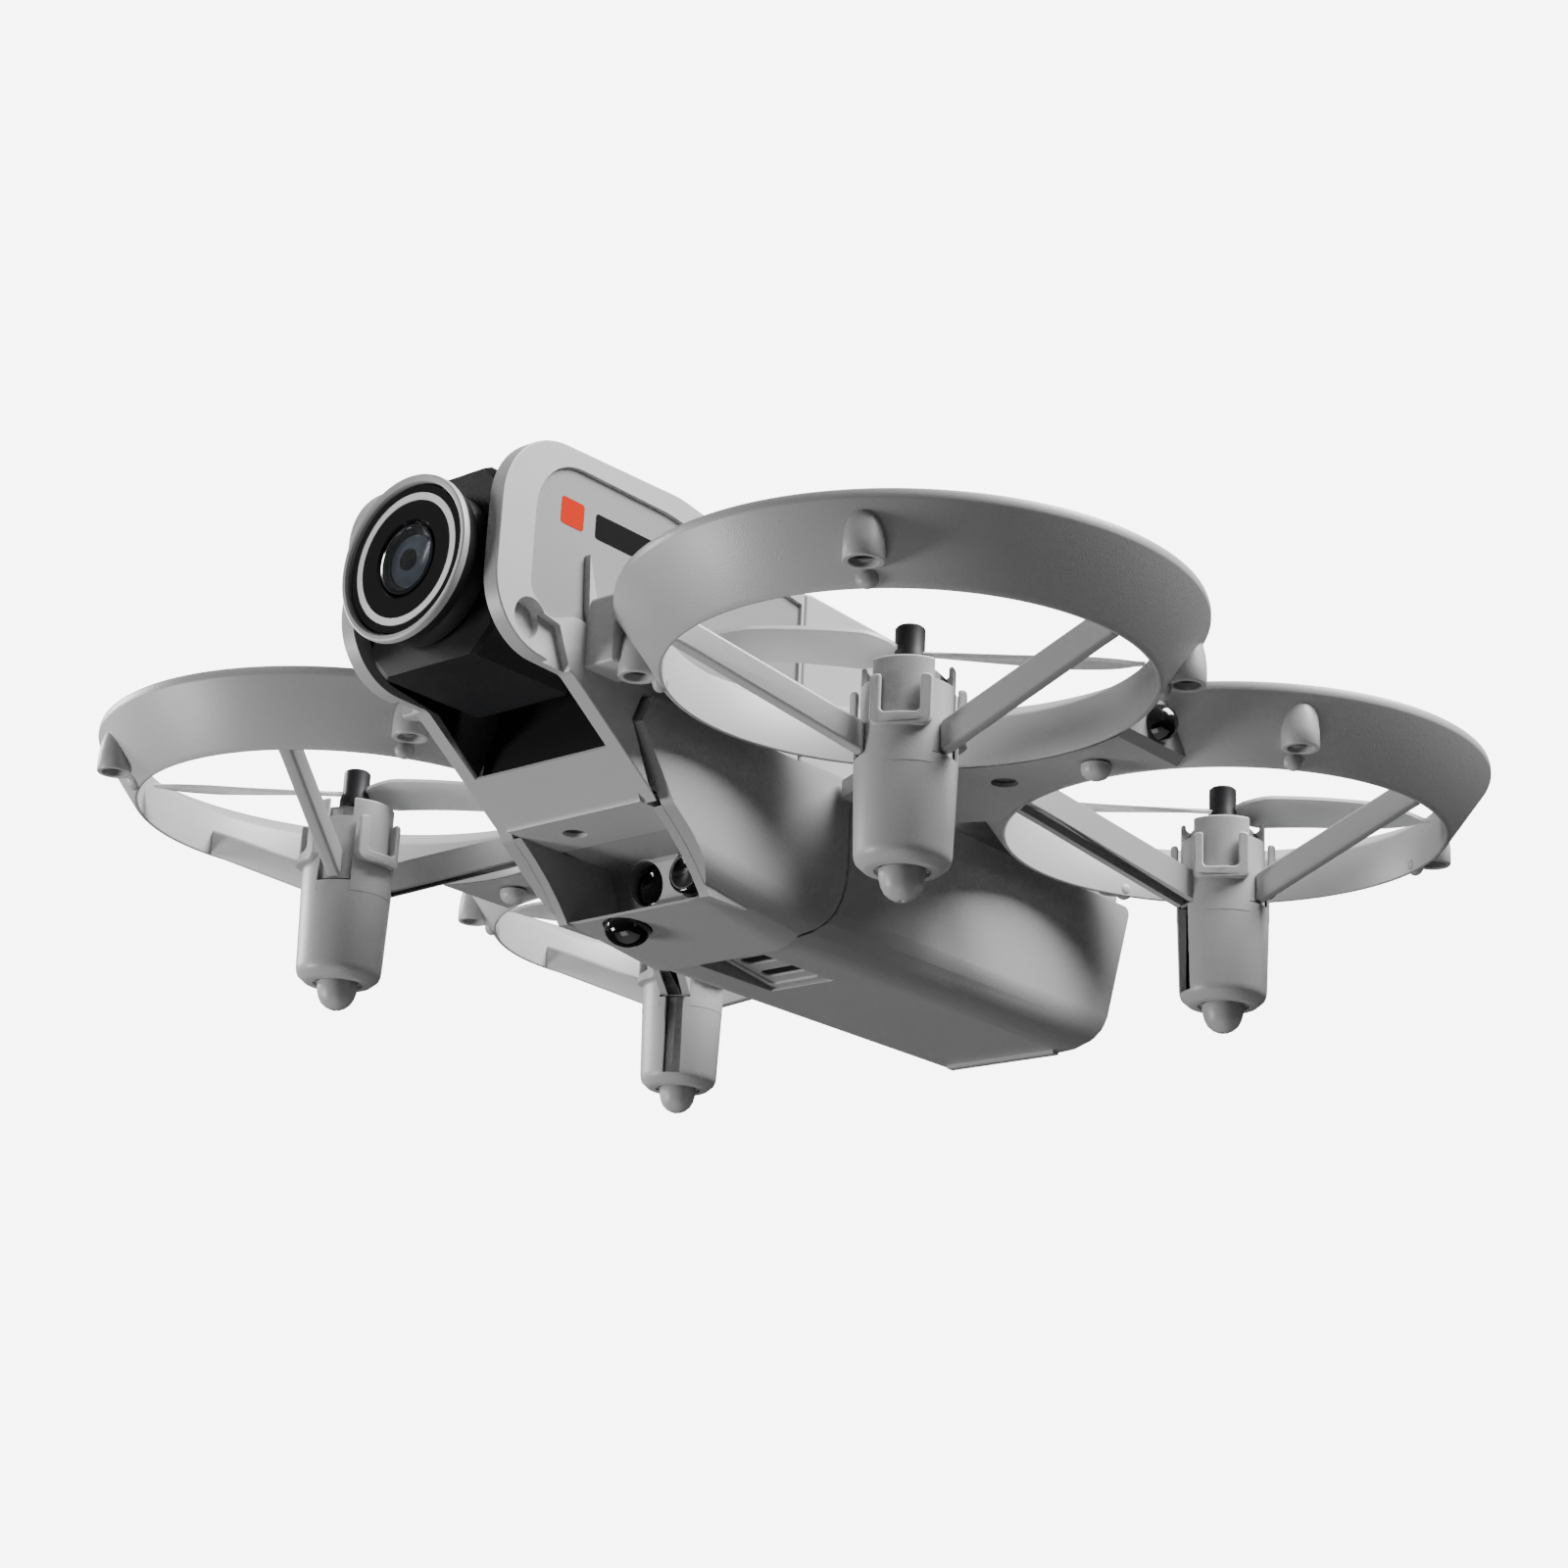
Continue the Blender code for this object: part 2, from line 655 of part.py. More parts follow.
def rear_cover():
    """Spine behind the seam, falling away to the tail."""
    outline = rounded(
        [
            (SEAM_Y + GAP / 2, COVER_Z, 0),
            (SEAM_Y + GAP / 2, SEAM_Z, 0),
            (DECK_END_Y, DECK_END_Z, 9 * MM),
            (TAIL_Y, TAIL_Z, 1.5 * MM),
            (TAIL_Y, COVER_Z, 0),
        ]
    )
    cover = soften(slab("rear_cover", outline, -BODY_X, BODY_X), EDGE_R)
    inside = [
        (SEAM_Y - MM, COVER_Z - MM),
        (SEAM_Y - MM, SEAM_Z - WALL),
        (DECK_END_Y - 0.4 * MM, DECK_END_Z - WALL),
        (TAIL_Y - 6 * MM, TAIL_Z - 0.3 * MM),
        (TAIL_Y - 6 * MM, COVER_Z - MM),
    ]
    hole_top = (0, BUTTON_Y, CROWN_Z)
    cut(
        cover,
        slab("rear_inside", inside, WALL - BODY_X, BODY_X - WALL),
        rod("button_hole", (0, BUTTON_Y, 40 * MM), hole_top, BUTTON_R + GAP, sides=20),
    )
    return as_part(cover, SHELL)


def power_button():
    top = SEAM_Z + (DECK_END_Z - SEAM_Z) * (BUTTON_Y - SEAM_Y) / (DECK_END_Y - SEAM_Y) + BUTTON_PROUD
    flange = SEAM_Z - WALL - 1.6 * MM
    profile = [
        (0, top),
        (BUTTON_R - 0.3 * MM, top),
        (BUTTON_R, top - 0.3 * MM),
        (BUTTON_R, flange),
        (BUTTON_R + 0.9 * MM, flange),
        (BUTTON_R + 0.9 * MM, flange - 0.8 * MM),
        (0, flange - 0.8 * MM),
    ]
    button = turned("power_button", profile, 20)
    return as_part(moved(button, Matrix.Translation((0, BUTTON_Y, 0))), SHELL)


def parting(inset, top, low):
    """The curved joint between belly and battery, moved forward by inset, from top down to low."""
    centre = PARTING_Y - PARTING_R
    radius = PARTING_R - inset
    points = [(centre + radius, top), (centre + radius, PARTING_Z)]
    for step in range(1, 7):
        angle = PARTING_TURN * step / 6
        points.append((centre + radius * math.cos(angle), PARTING_Z - radius * math.sin(angle)))
    return points + [(points[-1][0], low)]


def belly_shell():
    """Lower front shell with the sensor scoop under the nose."""
    low = BELLY_Z - MM
    front = [
        (LIP_Y + 0.4 * MM, low),
        (LIP_Y, LIP_Z + 0.6 * MM),
        (-34.4 * MM, LEDGE_Z),
        (-40.3 * MM, 23.4 * MM),
        (-38.7 * MM, BELLY_TOP),
    ]
    shell = slab("belly_shell", front + parting(0, BELLY_TOP, low), -BELLY_X, BELLY_X)
    cross = section(BELLY_X, BELLY_Z, BELLY_TOP + 20 * MM, BELLY_CORNER)
    slope = (LIP_Z - BELLY_Z) / (LIP_Y - PARTING_Y + PARTING_R)
    nose_up = Matrix.Translation((0, 0, slope * (PARTING_R - PARTING_Y)))
    nose_up[2][1] = slope
    hull = slab("belly_section", cross, -10 * MM, 50 * MM, LENGTHWISE)
    combine(shell, moved(hull, nose_up), "INTERSECT")
    roof = LEDGE_Z + LEDGE_T + GAP
    scoop = [
        (-50 * MM, LIP_Z - 2.4 * MM),
        (LIP_Y, LIP_Z + 0.3 * MM),
        (SCOOP_BACK + 0.8 * MM, LIP_Z + 1.1 * MM),
        (SCOOP_BACK - 0.4 * MM, LEDGE_Z - 2 * MM),
        (SCOOP_BACK - 1.6 * MM, LEDGE_Z - 0.4 * MM),
        (LEDGE_Y + GAP, LEDGE_Z + 0.2 * MM),
        (LEDGE_Y + GAP, roof),
        (-36.8 * MM, roof),
        (-40.2 * MM, 23.5 * MM),
        (-38.6 * MM, BELLY_TOP + MM),
        (-50 * MM, BELLY_TOP + MM),
    ]
    floor = roof + WALL
    hollow = [
        (-37.4 * MM, BELLY_TOP + MM),
        (-34.0 * MM, floor),
        (SCOOP_BACK + 0.2 * MM, floor),
        (SCOOP_BACK + 0.8 * MM + WALL, LIP_Z + WALL),
    ]
    hollow += parting(WALL, BELLY_TOP + MM, BELLY_Z + 1.5 * WALL)[::-1]
    notch_low = (-LATCH_W / 2 - GAP, LATCH_Y[0] - GAP, 0)
    notch_high = (LATCH_W / 2 + GAP, PARTING_Y, latch_top() + LATCH_TRAVEL + GAP)
    cut(
        shell,
        box("latch_notch", notch_low, notch_high),
        slab("scoop", scoop, -SCOOP_X, SCOOP_X),
        slab("belly_hollow", hollow, WALL - BELLY_X, BELLY_X - WALL),
        nose_screw_rod("screw_hole", 24 * MM, SCREW_R + GAP),
        rod("flow_hole", (FLOW_X, FLOW_Y, 0), (FLOW_X, FLOW_Y, LIP_Z + 0.4 * MM), FLOW_R + GAP, sides=16),
        box("contact_window", (-5 * MM, PARTING_Y - 4 * MM, 18 * MM), (5 * MM, PARTING_Y + 4 * MM, 23 * MM)),
    )
    for side in (-1, 1):
        start = (side * SENSOR_X, SCOOP_BACK - 2 * MM, SENSOR_Z)
        end = (side * SENSOR_X, SCOOP_BACK + 3 * MM, SENSOR_Z)
        cut(shell, rod("sensor_hole", start, end, SENSOR_R + GAP, sides=14))
    return as_part(shell, LOWER)


def sensors():
    """A distance emitter and receiver in the scoop, and the downward flow camera under it."""
    for name, side, proud in (("left", 1, 1.4 * MM), ("right", -1, -0.5 * MM)):
        front = SCOOP_BACK - proud
        tube = rod(
            f"distance_sensor_{name}",
            (side * SENSOR_X, front, SENSOR_Z),
            (side * SENSOR_X, SCOOP_BACK + 3.4 * MM, SENSOR_Z),
            SENSOR_R,
            sides=14,
        )
        as_part(soften(tube, 0.5 * MM, 2), BLACK)
    rim = BELLY_Z + 0.6 * MM
    eye = [
        (0, LIP_Z + 0.1 * MM),
        (FLOW_R, LIP_Z + 0.1 * MM),
        (FLOW_R, rim),
        (FLOW_R * 0.85, rim - 0.9 * MM),
        (FLOW_R * 0.5, rim - 1.6 * MM),
        (0, rim - 1.9 * MM),
    ]
    as_part(moved(turned("flow_camera", eye, 16), Matrix.Translation((FLOW_X, FLOW_Y, 0))), BLACK)


def screw(name, x, y, head_low, length):
    profile = [
        (0, head_low + length),
        (SCREW_R, head_low + length),
        (SCREW_R, head_low + 0.9 * MM),
        (SCREW_HEAD_R, head_low + 0.9 * MM),
        (SCREW_HEAD_R, head_low),
        (0, head_low),
    ]
    return as_part(moved(turned(name, profile, 12), Matrix.Translation((x, y, 0))), STEEL)


def latch_top():
    """Height of the latch's upper side at its front end, where it is deepest."""
    return BELLY_Z + LATCH_LOW + LATCH_SINK + LATCH_T


def latch_outline(ease, top, bottom):
    """The latch's sloping side view, grown by ease at its ends."""
    front, rear = LATCH_Y[0] - ease, LATCH_Y[1] + ease
    deep = BELLY_Z + LATCH_LOW + LATCH_SINK
    shallow = BELLY_Z + LATCH_LOW
    return [(front, deep + top), (rear, shallow + top), (rear, shallow + bottom), (front, deep + bottom)]


def battery():
    """Slide-out pack: an open-topped case round the cell, with a sprung latch underneath."""
    tail = [
        (BATTERY_HEEL, BELLY_Z - MM, 7.0 * MM),
        (BATTERY_TAIL, BELLY_TOP, 1.0 * MM),
    ]
    front = parting(-GAP, BELLY_TOP, BELLY_Z - MM)
    outline = rounded([(*point, 0) for point in front] + tail)
    case = slab("battery_case", outline, -BELLY_X, BELLY_X)
    cross = section(BELLY_X, BELLY_Z, BELLY_TOP + 20 * MM, BELLY_CORNER)
    combine(case, slab("battery_section", cross, -70 * MM, 30 * MM, LENGTHWISE), "INTERSECT")
    tab = box("tail_tab", (-8.65 * MM, TAB_Y[0], BELLY_Z - 0.5 * MM), (8.65 * MM, TAB_Y[1], BELLY_Z + 3 * MM))
    add(case, tab)
    inner_x = BELLY_X - WALL
    low = latch_top() + LATCH_TRAVEL + GAP + WALL
    cell_low = (-inner_x + 2 * MM, PARTING_Y + GAP + 2 * WALL, low)
    cell_high = (inner_x - 2 * MM, BATTERY_HEEL - MM, BELLY_TOP - 2 * GAP)
    space_low = (cell_low[0] - GAP, cell_low[1] - GAP, low - GAP)
    space_high = (cell_high[0] + GAP, cell_high[1] + GAP, BELLY_TOP + MM)
    lift = LATCH_T + LATCH_TRAVEL + GAP
    well = latch_outline(GAP, lift, -8 * MM)
    cut(case, box("cell_space", space_low, space_high))
    cut(case, slab("latch_well", well, -LATCH_W / 2 - GAP, LATCH_W / 2 + GAP))
    as_part(case, LOWER)
    cell = soften(box("battery_cell", cell_low, cell_high), 1.2 * MM)
    as_part(cell, CELL)


def battery_latch():
    outline = latch_outline(0, LATCH_T, 0)
    plate = soften(slab("battery_latch", outline, -LATCH_W / 2, LATCH_W / 2), 0.3 * MM, 1)
    long = LATCH_Y[1] - LATCH_Y[0]
    for share in (0.3, 0.55, 0.8):
        floor = BELLY_Z + LATCH_LOW + LATCH_SINK * (1 - share) + 0.45 * MM
        low = (-LATCH_W * 0.34, LATCH_Y[0] + long * (share - 0.07), BELLY_Z - 2 * MM)
        high = (LATCH_W * 0.34, LATCH_Y[0] + long * (share + 0.07), floor)
        cut(plate, box("latch_groove", low, high))
    return as_part(plate, LOWER)


def camera():
    """Everything that tilts about the pins between the cheeks."""
    corner = HOUSING_CHAMFER
    octagon = []
    for sx, sz in ((1, 1), (1, -1), (-1, -1), (-1, 1)):
        long = (sx * HOUSING_X, LENS_Z + sz * (HOUSING_H - corner))
        short = (sx * (HOUSING_X - corner), LENS_Z + sz * HOUSING_H)
        octagon += [short, long] if sx * sz > 0 else [long, short]
    back, front = TILT_Y + HOUSING_BACK, TILT_Y - HOUSING_FRONT
    housing = soften(slab("camera_housing", octagon, -back, -front, LENGTHWISE), 0.5 * MM, 1)
    inner = HOUSING_X - 1.6 * MM
    cut(
        housing,
        rod("housing_bore", (0, front - MM, LENS_Z), (0, back - 1.5 * MM, LENS_Z), inner, sides=24),
        rod("pin_bore", (-20 * MM, TILT_Y, LENS_Z), (20 * MM, TILT_Y, LENS_Z), PIN_R + GAP),
    )
    as_part(housing, DARK)

    nose = -LENS_REACH
    collar = front - GAP
    about = Matrix.Translation((0, 0, LENS_Z)) @ Matrix.Rotation(math.pi / 2, 4, "X")
    deep = -nose - BEZEL_T
    barrel = [
        (BARREL_R - 0.3 * MM, deep - GAP),
        (BARREL_R, -collar),
        (inner - 2 * GAP, -collar),
        (inner - 2 * GAP, -front - 3 * MM),
        (0, -front - 3 * MM),
        (0, deep - GAP),
    ]
    as_part(moved(turned("lens_barrel", barrel, LENS_STEPS, closed=True), about), DARK)
    face = -nose - 0.6 * MM
    bezel = [
        (BEZEL_R - 0.2 * MM, -nose),
        (BEZEL_R, -nose - 0.3 * MM),
        (BEZEL_R - 0.2 * MM, deep),
        (BEZEL_R - BEZEL_WALL, deep),
        (BEZEL_R - BEZEL_WALL, -nose),
    ]
    as_part(moved(turned("lens_bezel", bezel, LENS_STEPS, closed=True), about), SHELL)
    plate_r = BEZEL_R - BEZEL_WALL - GAP
    low, high = ACCENT_R
    disc = [
        (plate_r, face),
        (plate_r, deep),
        (LENS_R + GAP, deep),
        (LENS_R + GAP, face),
        (low - GAP, face),
        (low - GAP, face - 0.6 * MM),
        (high + GAP, face - 0.6 * MM),
        (high + GAP, face),
    ]
    as_part(moved(turned("lens_face", disc, LENS_STEPS, closed=True), about), BLACK)
    accent = [(high, face), (high, face - 0.3 * MM), (low, face - 0.3 * MM), (low, face)]
    as_part(moved(turned("accent_ring", accent, LENS_STEPS, closed=True), about), WHITE)
    glass = [
        (0, face + LENS_DOME * 0.5),
        (LENS_R * 0.6, face + LENS_DOME * 0.3),
        (LENS_R, face - 0.2 * MM),
        (LENS_R, deep),
        (0, deep),
    ]
    as_part(moved(turned("lens_glass", glass, LENS_STEPS), about), GLASS)

    sensor_y = front + 3 * MM + GAP
    board = box(
        "image_sensor_board",
        (-5 * MM, sensor_y, LENS_Z - 4.5 * MM),
        (5 * MM, sensor_y + 1.6 * MM, LENS_Z + 4.5 * MM),
    )
    as_part(board, BOARD)
    for name, side in (("left", 1), ("right", -1)):
        start = (side * PIN_END, TILT_Y, LENS_Z)
        end = (side * (HOUSING_X - 2.6 * MM), TILT_Y, LENS_Z)
        as_part(rod(f"tilt_pin_{name}", start, end, PIN_R, sides=14), STEEL)


def ring_space(name, end):
    """The room that a duct and its rim take up, a gap larger all round."""
    low, high = DUCT_Z - 2 * MM, RING_TOP + MM
    profile = [(wall_r(high) + GAP, high), (wall_r(low) + GAP, low), (0, low), (0, high)]
    space = turned(name, profile, RING_STEPS, closed=True)
    return moved(space, Matrix.Translation((ROTOR_X, end * ROTOR_Y, 0)))


def bridge(name, side):
    """Web between a front and a rear duct, with a wedge for the marker light at its outer end."""
    root = BELLY_X + 2 * GAP
    outline = [
        (root, -BRIDGE_ROOT),
        (27 * MM, -12 * MM),
        (BRIDGE_END, -9 * MM),
        (BRIDGE_END, 9 * MM),
        (27 * MM, 12 * MM),
        (root, BRIDGE_ROOT),
    ]
    web = slab(f"bridge_{name}", outline, DUCT_Z, DUCT_Z + BRIDGE_T, Matrix())
    side_view = [
        (BRIDGE_END - 3 * MM, DUCT_Z + MM),
        (BRIDGE_END, DUCT_Z),
        (MARKER_X, DUCT_Z + 0.9 * MM),
        (MARKER_X, MARKER_Z + 3.0 * MM),
        (BRIDGE_END - 3 * MM, MARKER_Z + 3.0 * MM),
    ]
    wedge = slab("wedge", side_view, -9 * MM, 9 * MM, LENGTHWISE)
    under, above = (BRIDGE_SCREW_X, 0, DUCT_Z + MM), (BRIDGE_SCREW_X, 0, BRIDGE_BOSS_TOP)
    boss = rod("bridge_boss", under, above, BRIDGE_BOSS_R, sides=12)
    add(web, wedge, boss)
    recess = (BRIDGE_SCREW_X, 0, DUCT_Z - MM)
    head = rod("head_recess", recess, (BRIDGE_SCREW_X, 0, DUCT_Z + 1.6 * MM), SCREW_HEAD_R + GAP, sides=12)
    tip = (BRIDGE_SCREW_X, 0, BRIDGE_BOSS_TOP - 0.4 * MM)
    thread = rod("screw_hole", recess, tip, SCREW_R + GAP, sides=10)
    socket = rod(
        "light_socket",
        (MARKER_X - 2.0 * MM, 0, MARKER_Z),
        (MARKER_X + 2.0 * MM, 0, MARKER_Z),
        1.2 * MM + GAP,
        sides=12,
    )
    cut(web, head, thread, socket, ring_space("front_space", -1), ring_space("rear_space", 1))
    baked(web)
    web.scale.x = side
    return as_part(web, LOWER)


def bridge_fittings(name, side):
    """Nub, screw and marker light on one bridge."""
    profile = [
        (0, DUCT_Z - GAP),
        (NUB_R, DUCT_Z - GAP),
        (NUB_R, DUCT_Z - 0.9 * MM),
        (NUB_R * 0.7, DUCT_Z - 1.7 * MM),
        (0, DUCT_Z - 2.1 * MM),
    ]
    nub = moved(turned(f"nub_{name}", profile, 14), Matrix.Translation((side * NUB_X, 0, 0)))
    as_part(nub, SHELL)
    screw(f"bridge_screw_{name}", side * BRIDGE_SCREW_X, 0, DUCT_Z + 0.4 * MM, 3.4 * MM)
    lens = [
        (0, 2.5 * MM),
        (1.2 * MM, 2.1 * MM),
        (2.0 * MM, 1.0 * MM),
        (2.2 * MM, GAP),
        (1.2 * MM, GAP),
        (1.2 * MM, -1.6 * MM),
        (0, -1.6 * MM),
    ]
    about = Matrix.Translation((side * MARKER_X, 0, MARKER_Z)) @ Matrix.Rotation(side * math.pi / 2, 4, "Y")
    as_part(moved(turned(f"marker_light_{name}", lens, 14), about), BLACK)


def inner_parts():
    """The frame plate over the battery, the flight board and the battery contacts."""
    plate_x = BODY_X - WALL - GAP
    low = COVER_Z + GAP
    plate = box("centre_frame", (-plate_x, -35 * MM, low), (plate_x, 48 * MM, low + 1.4 * MM))
    add(plate, *[
        rod("board_post", (x, y, low + MM), (x, y, 33 * MM - GAP), 1.3 * MM, sides=8)
        for x in (-7 * MM, 7 * MM)
        for y in (-30 * MM, 2 * MM)
    ])
    as_part(plate, LOWER)
    board = box("flight_board", (-9.2 * MM, -33 * MM, 33 * MM), (9.2 * MM, 6 * MM, 34.2 * MM))
    add(
        board,
        box("processor", (-4 * MM, -26 * MM, 34 * MM), (4 * MM, -18 * MM, 35.4 * MM)),
        rod("button_switch", (0, BUTTON_Y, 34 * MM), (0, BUTTON_Y, 44.2 * MM), 2.5 * MM, sides=12),
        box("radio", (3 * MM, -14 * MM, 34 * MM), (8 * MM, -8 * MM, 35.8 * MM)),
    )
    as_part(board, BOARD)
    low, high = (-4.6 * MM, PARTING_Y - 4.6 * MM, 18.4 * MM), (4.6 * MM, PARTING_Y - GAP, 22.6 * MM)
    contact = box("battery_contacts", low, high)
    as_part(contact, BRASS)


build_corners()
front_cover()
rear_cover()
power_button()
belly_shell()
sensors()
screw("nose_screw", NOSE_SCREW_X, NOSE_SCREW_Y, LEDGE_Z + 0.5 * MM, 5 * MM)
battery()
battery_latch()
camera()
for side_name, side_sign in (("left", 1), ("right", -1)):
    bridge(side_name, side_sign)
    bridge_fittings(side_name, side_sign)
inner_parts()
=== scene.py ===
import json
import math

import bmesh
import bpy
from mathutils import Matrix, Vector


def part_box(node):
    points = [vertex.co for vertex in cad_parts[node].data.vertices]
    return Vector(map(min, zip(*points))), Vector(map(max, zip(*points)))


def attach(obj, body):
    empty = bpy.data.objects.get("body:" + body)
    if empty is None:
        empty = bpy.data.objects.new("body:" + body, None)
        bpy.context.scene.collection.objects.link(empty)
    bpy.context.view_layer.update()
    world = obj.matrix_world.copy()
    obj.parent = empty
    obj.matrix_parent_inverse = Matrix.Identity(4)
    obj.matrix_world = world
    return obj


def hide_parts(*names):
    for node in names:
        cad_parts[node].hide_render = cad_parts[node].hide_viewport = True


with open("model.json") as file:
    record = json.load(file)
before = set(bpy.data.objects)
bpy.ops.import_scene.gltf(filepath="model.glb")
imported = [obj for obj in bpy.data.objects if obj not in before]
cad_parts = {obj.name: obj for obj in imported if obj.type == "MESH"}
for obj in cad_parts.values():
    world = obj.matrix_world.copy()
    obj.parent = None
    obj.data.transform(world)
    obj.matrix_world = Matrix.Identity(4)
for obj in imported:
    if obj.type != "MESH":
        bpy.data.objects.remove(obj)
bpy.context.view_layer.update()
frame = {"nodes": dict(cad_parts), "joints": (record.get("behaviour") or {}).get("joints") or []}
print("frame loaded")

mm = 0.001
axles = {joint["child"]: Vector(joint["pos_m"]) for joint in frame["joints"] if joint.get("continuous")}
middleY = sum(axle.y for axle in axles.values()) / len(axles)
corners = {"front_left": (1, -1), "front_right": (-1, -1), "rear_left": (1, 1), "rear_right": (-1, 1)}
bodyPlace = Matrix.Translation((0, middleY, 0))
turns = {  # which way an outline is pushed
    "x": Matrix(((0, 0, 1, 0), (1, 0, 0, 0), (0, 1, 0, 0), (0, 0, 0, 1))),
    "y": Matrix(((1, 0, 0, 0), (0, 0, 1, 0), (0, 1, 0, 0), (0, 0, 0, 1))),
    "z": Matrix(),
}


# shaping

def tidied(form):
    bmesh.ops.remove_doubles(form, verts=form.verts, dist=2e-6)
    bmesh.ops.recalc_face_normals(form, faces=form.faces)
    return form


def spunForm(profile, steps=72, closed=True):
    # profile is (radius, height) in mm; an open one starts and ends on the axis
    form = bmesh.new()
    points = [form.verts.new((radius * mm, 0, height * mm)) for radius, height in profile]
    edges = [form.edges.new(pair) for pair in zip(points, points[1:])]
    if closed:
        edges.append(form.edges.new((points[-1], points[0])))
    full = 2 * math.pi
    bmesh.ops.spin(
        form, geom=points + edges, cent=(0, 0, 0), axis=(0, 0, 1), angle=full, steps=steps, use_merge=True
    )
    return tidied(form)


def slabForm(outline, low, high, push="x"):
    form = bmesh.new()
    face = form.faces.new([form.verts.new((a * mm, b * mm, low * mm)) for a, b in outline])
    pushed = bmesh.ops.extrude_face_region(form, geom=[face])["geom"]
    far = [v for v in pushed if isinstance(v, bmesh.types.BMVert)]
    bmesh.ops.translate(form, verts=far, vec=(0, 0, (high - low) * mm))
    bmesh.ops.transform(form, matrix=turns[push], verts=form.verts)
    return tidied(form)


def boxForm(low, high):
    outline = [(low[0], low[1]), (high[0], low[1]), (high[0], high[1]), (low[0], high[1])]
    return slabForm(outline, low[2], high[2], "z")


def rodForm(start, end, radius, endRadius=None, steps=32):
    start, end = Vector(start) * mm, Vector(end) * mm
    form = bmesh.new()
    span = end - start
    bmesh.ops.create_cone(
        form, cap_ends=True, segments=steps, radius1=radius * mm,
        radius2=(radius if endRadius is None else endRadius) * mm, depth=span.length,
    )
    turn = Vector((0, 0, 1)).rotation_difference(span).to_matrix().to_4x4()
    bmesh.ops.transform(form, matrix=Matrix.Translation((start + end) / 2) @ turn, verts=form.verts)
    return form


def roundedOutline(corners, pace=0.9):
    # corners are (a, b, radius); each is swapped for an arc in steps of about pace mm
    outline = []
    count = len(corners)
    for index, (a, b, radius) in enumerate(corners):
        here = Vector((a, b))
        if radius == 0:
            outline.append((a, b))
            continue
        before = (Vector(corners[index - 1][:2]) - here).normalized()
        after = (Vector(corners[(index + 1) % count][:2]) - here).normalized()
        half = before.angle(after) / 2
        reach = radius / math.tan(half)
        centre = here + (before + after).normalized() * radius / math.sin(half)
        first, last = here + before * reach - centre, here + after * reach - centre
        swing = first.angle_signed(last)
        steps = max(2, math.ceil(abs(swing) * radius / pace))
        for step in range(steps + 1):
            spot = centre + Matrix.Rotation(-swing * step / steps, 2) @ first
            outline.append((spot.x, spot.y))
    return outline


def roundedBlock(a, b, farA, farB, radius, pace=0.9):
    return roundedOutline([(a, b, radius), (farA, b, radius), (farA, farB, radius), (a, farB, radius)], pace)


def softened(form, width, segments=3, sharper=30, where=None):
    edges = [
        edge for edge in form.edges
        if len(edge.link_faces) == 2 and edge.calc_face_angle(0) > math.radians(sharper)
        and (where is None or where((edge.verts[0].co + edge.verts[1].co) / 2 / mm))
    ]
    bmesh.ops.bevel(
        form, geom=edges, offset=width * mm, segments=segments, profile=0.5, affect="EDGES",
        material=-1, clamp_overlap=True,
    )
    return form


def asObject(name, form):
    mesh = bpy.data.meshes.new(name)
    form.to_mesh(mesh)
    form.free()
    obj = bpy.data.objects.new(name, mesh)
    bpy.context.scene.collection.objects.link(obj)
    return obj


def combined(form, others, operation="DIFFERENCE"):
    main = asObject("work", form)
    helpers = []
    for other in others:
        helper = asObject("helper", tidied(other))
        modifier = main.modifiers.new("shape", "BOOLEAN")
        modifier.object, modifier.operation, modifier.solver = helper, operation, "EXACT"
        helpers.append(helper)
    result = bmesh.new()
    result.from_object(main, bpy.context.evaluated_depsgraph_get())
    for obj in [main, *helpers]:
        bpy.data.meshes.remove(obj.data)
    return result


def moved(form, matrix):
    bmesh.ops.transform(form, matrix=matrix, verts=form.verts)
    return form


def turned(form, angle):
    return moved(form, Matrix.Rotation(math.radians(angle), 4, "Z"))


def gathered(forms):
    whole = bmesh.new()
    for form in forms:
        mesh = bpy.data.meshes.new("part")
        form.to_mesh(mesh)
        form.free()
        whole.from_mesh(mesh)
        bpy.data.meshes.remove(mesh)
    return whole


def nodeForm(node):
    # a merged copy of a CAD node's shape
    form = bmesh.new()
    form.from_mesh(frame["nodes"][node].data)
    bmesh.ops.remove_doubles(form, verts=form.verts, dist=2e-6)
    bmesh.ops.dissolve_limit(form, angle_limit=math.radians(0.6), verts=form.verts, edges=form.edges)
    return form


def addPiece(name, form, finish, body, stands=(), place=bodyPlace, edge=0.0, sharp=32):
    bmesh.ops.transform(form, matrix=place, verts=form.verts)
    tidied(form)
    for face in form.faces:
        face.smooth = True
    obj = asObject(name, form)
    obj.data.materials.append(finish)
    if edge:
        bevel = obj.modifiers.new("edges", "BEVEL")
        bevel.width, bevel.segments, bevel.limit_method = edge * mm, 2, "ANGLE"
        bevel.angle_limit = math.radians(sharp)
        obj.modifiers.new("shading", "WEIGHTED_NORMAL")
    else:
        obj.data.set_sharp_from_angle(angle=math.radians(sharp))
    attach(obj, body)
    if stands:
        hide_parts(*stands)
    return obj


def addOver(name, node, finish, body, edge, form=None):
    # the node's own shape, or one made from it, with softer edges
    return addPiece(name, form or nodeForm(node), finish, body, [node], Matrix(), edge)


# finishes

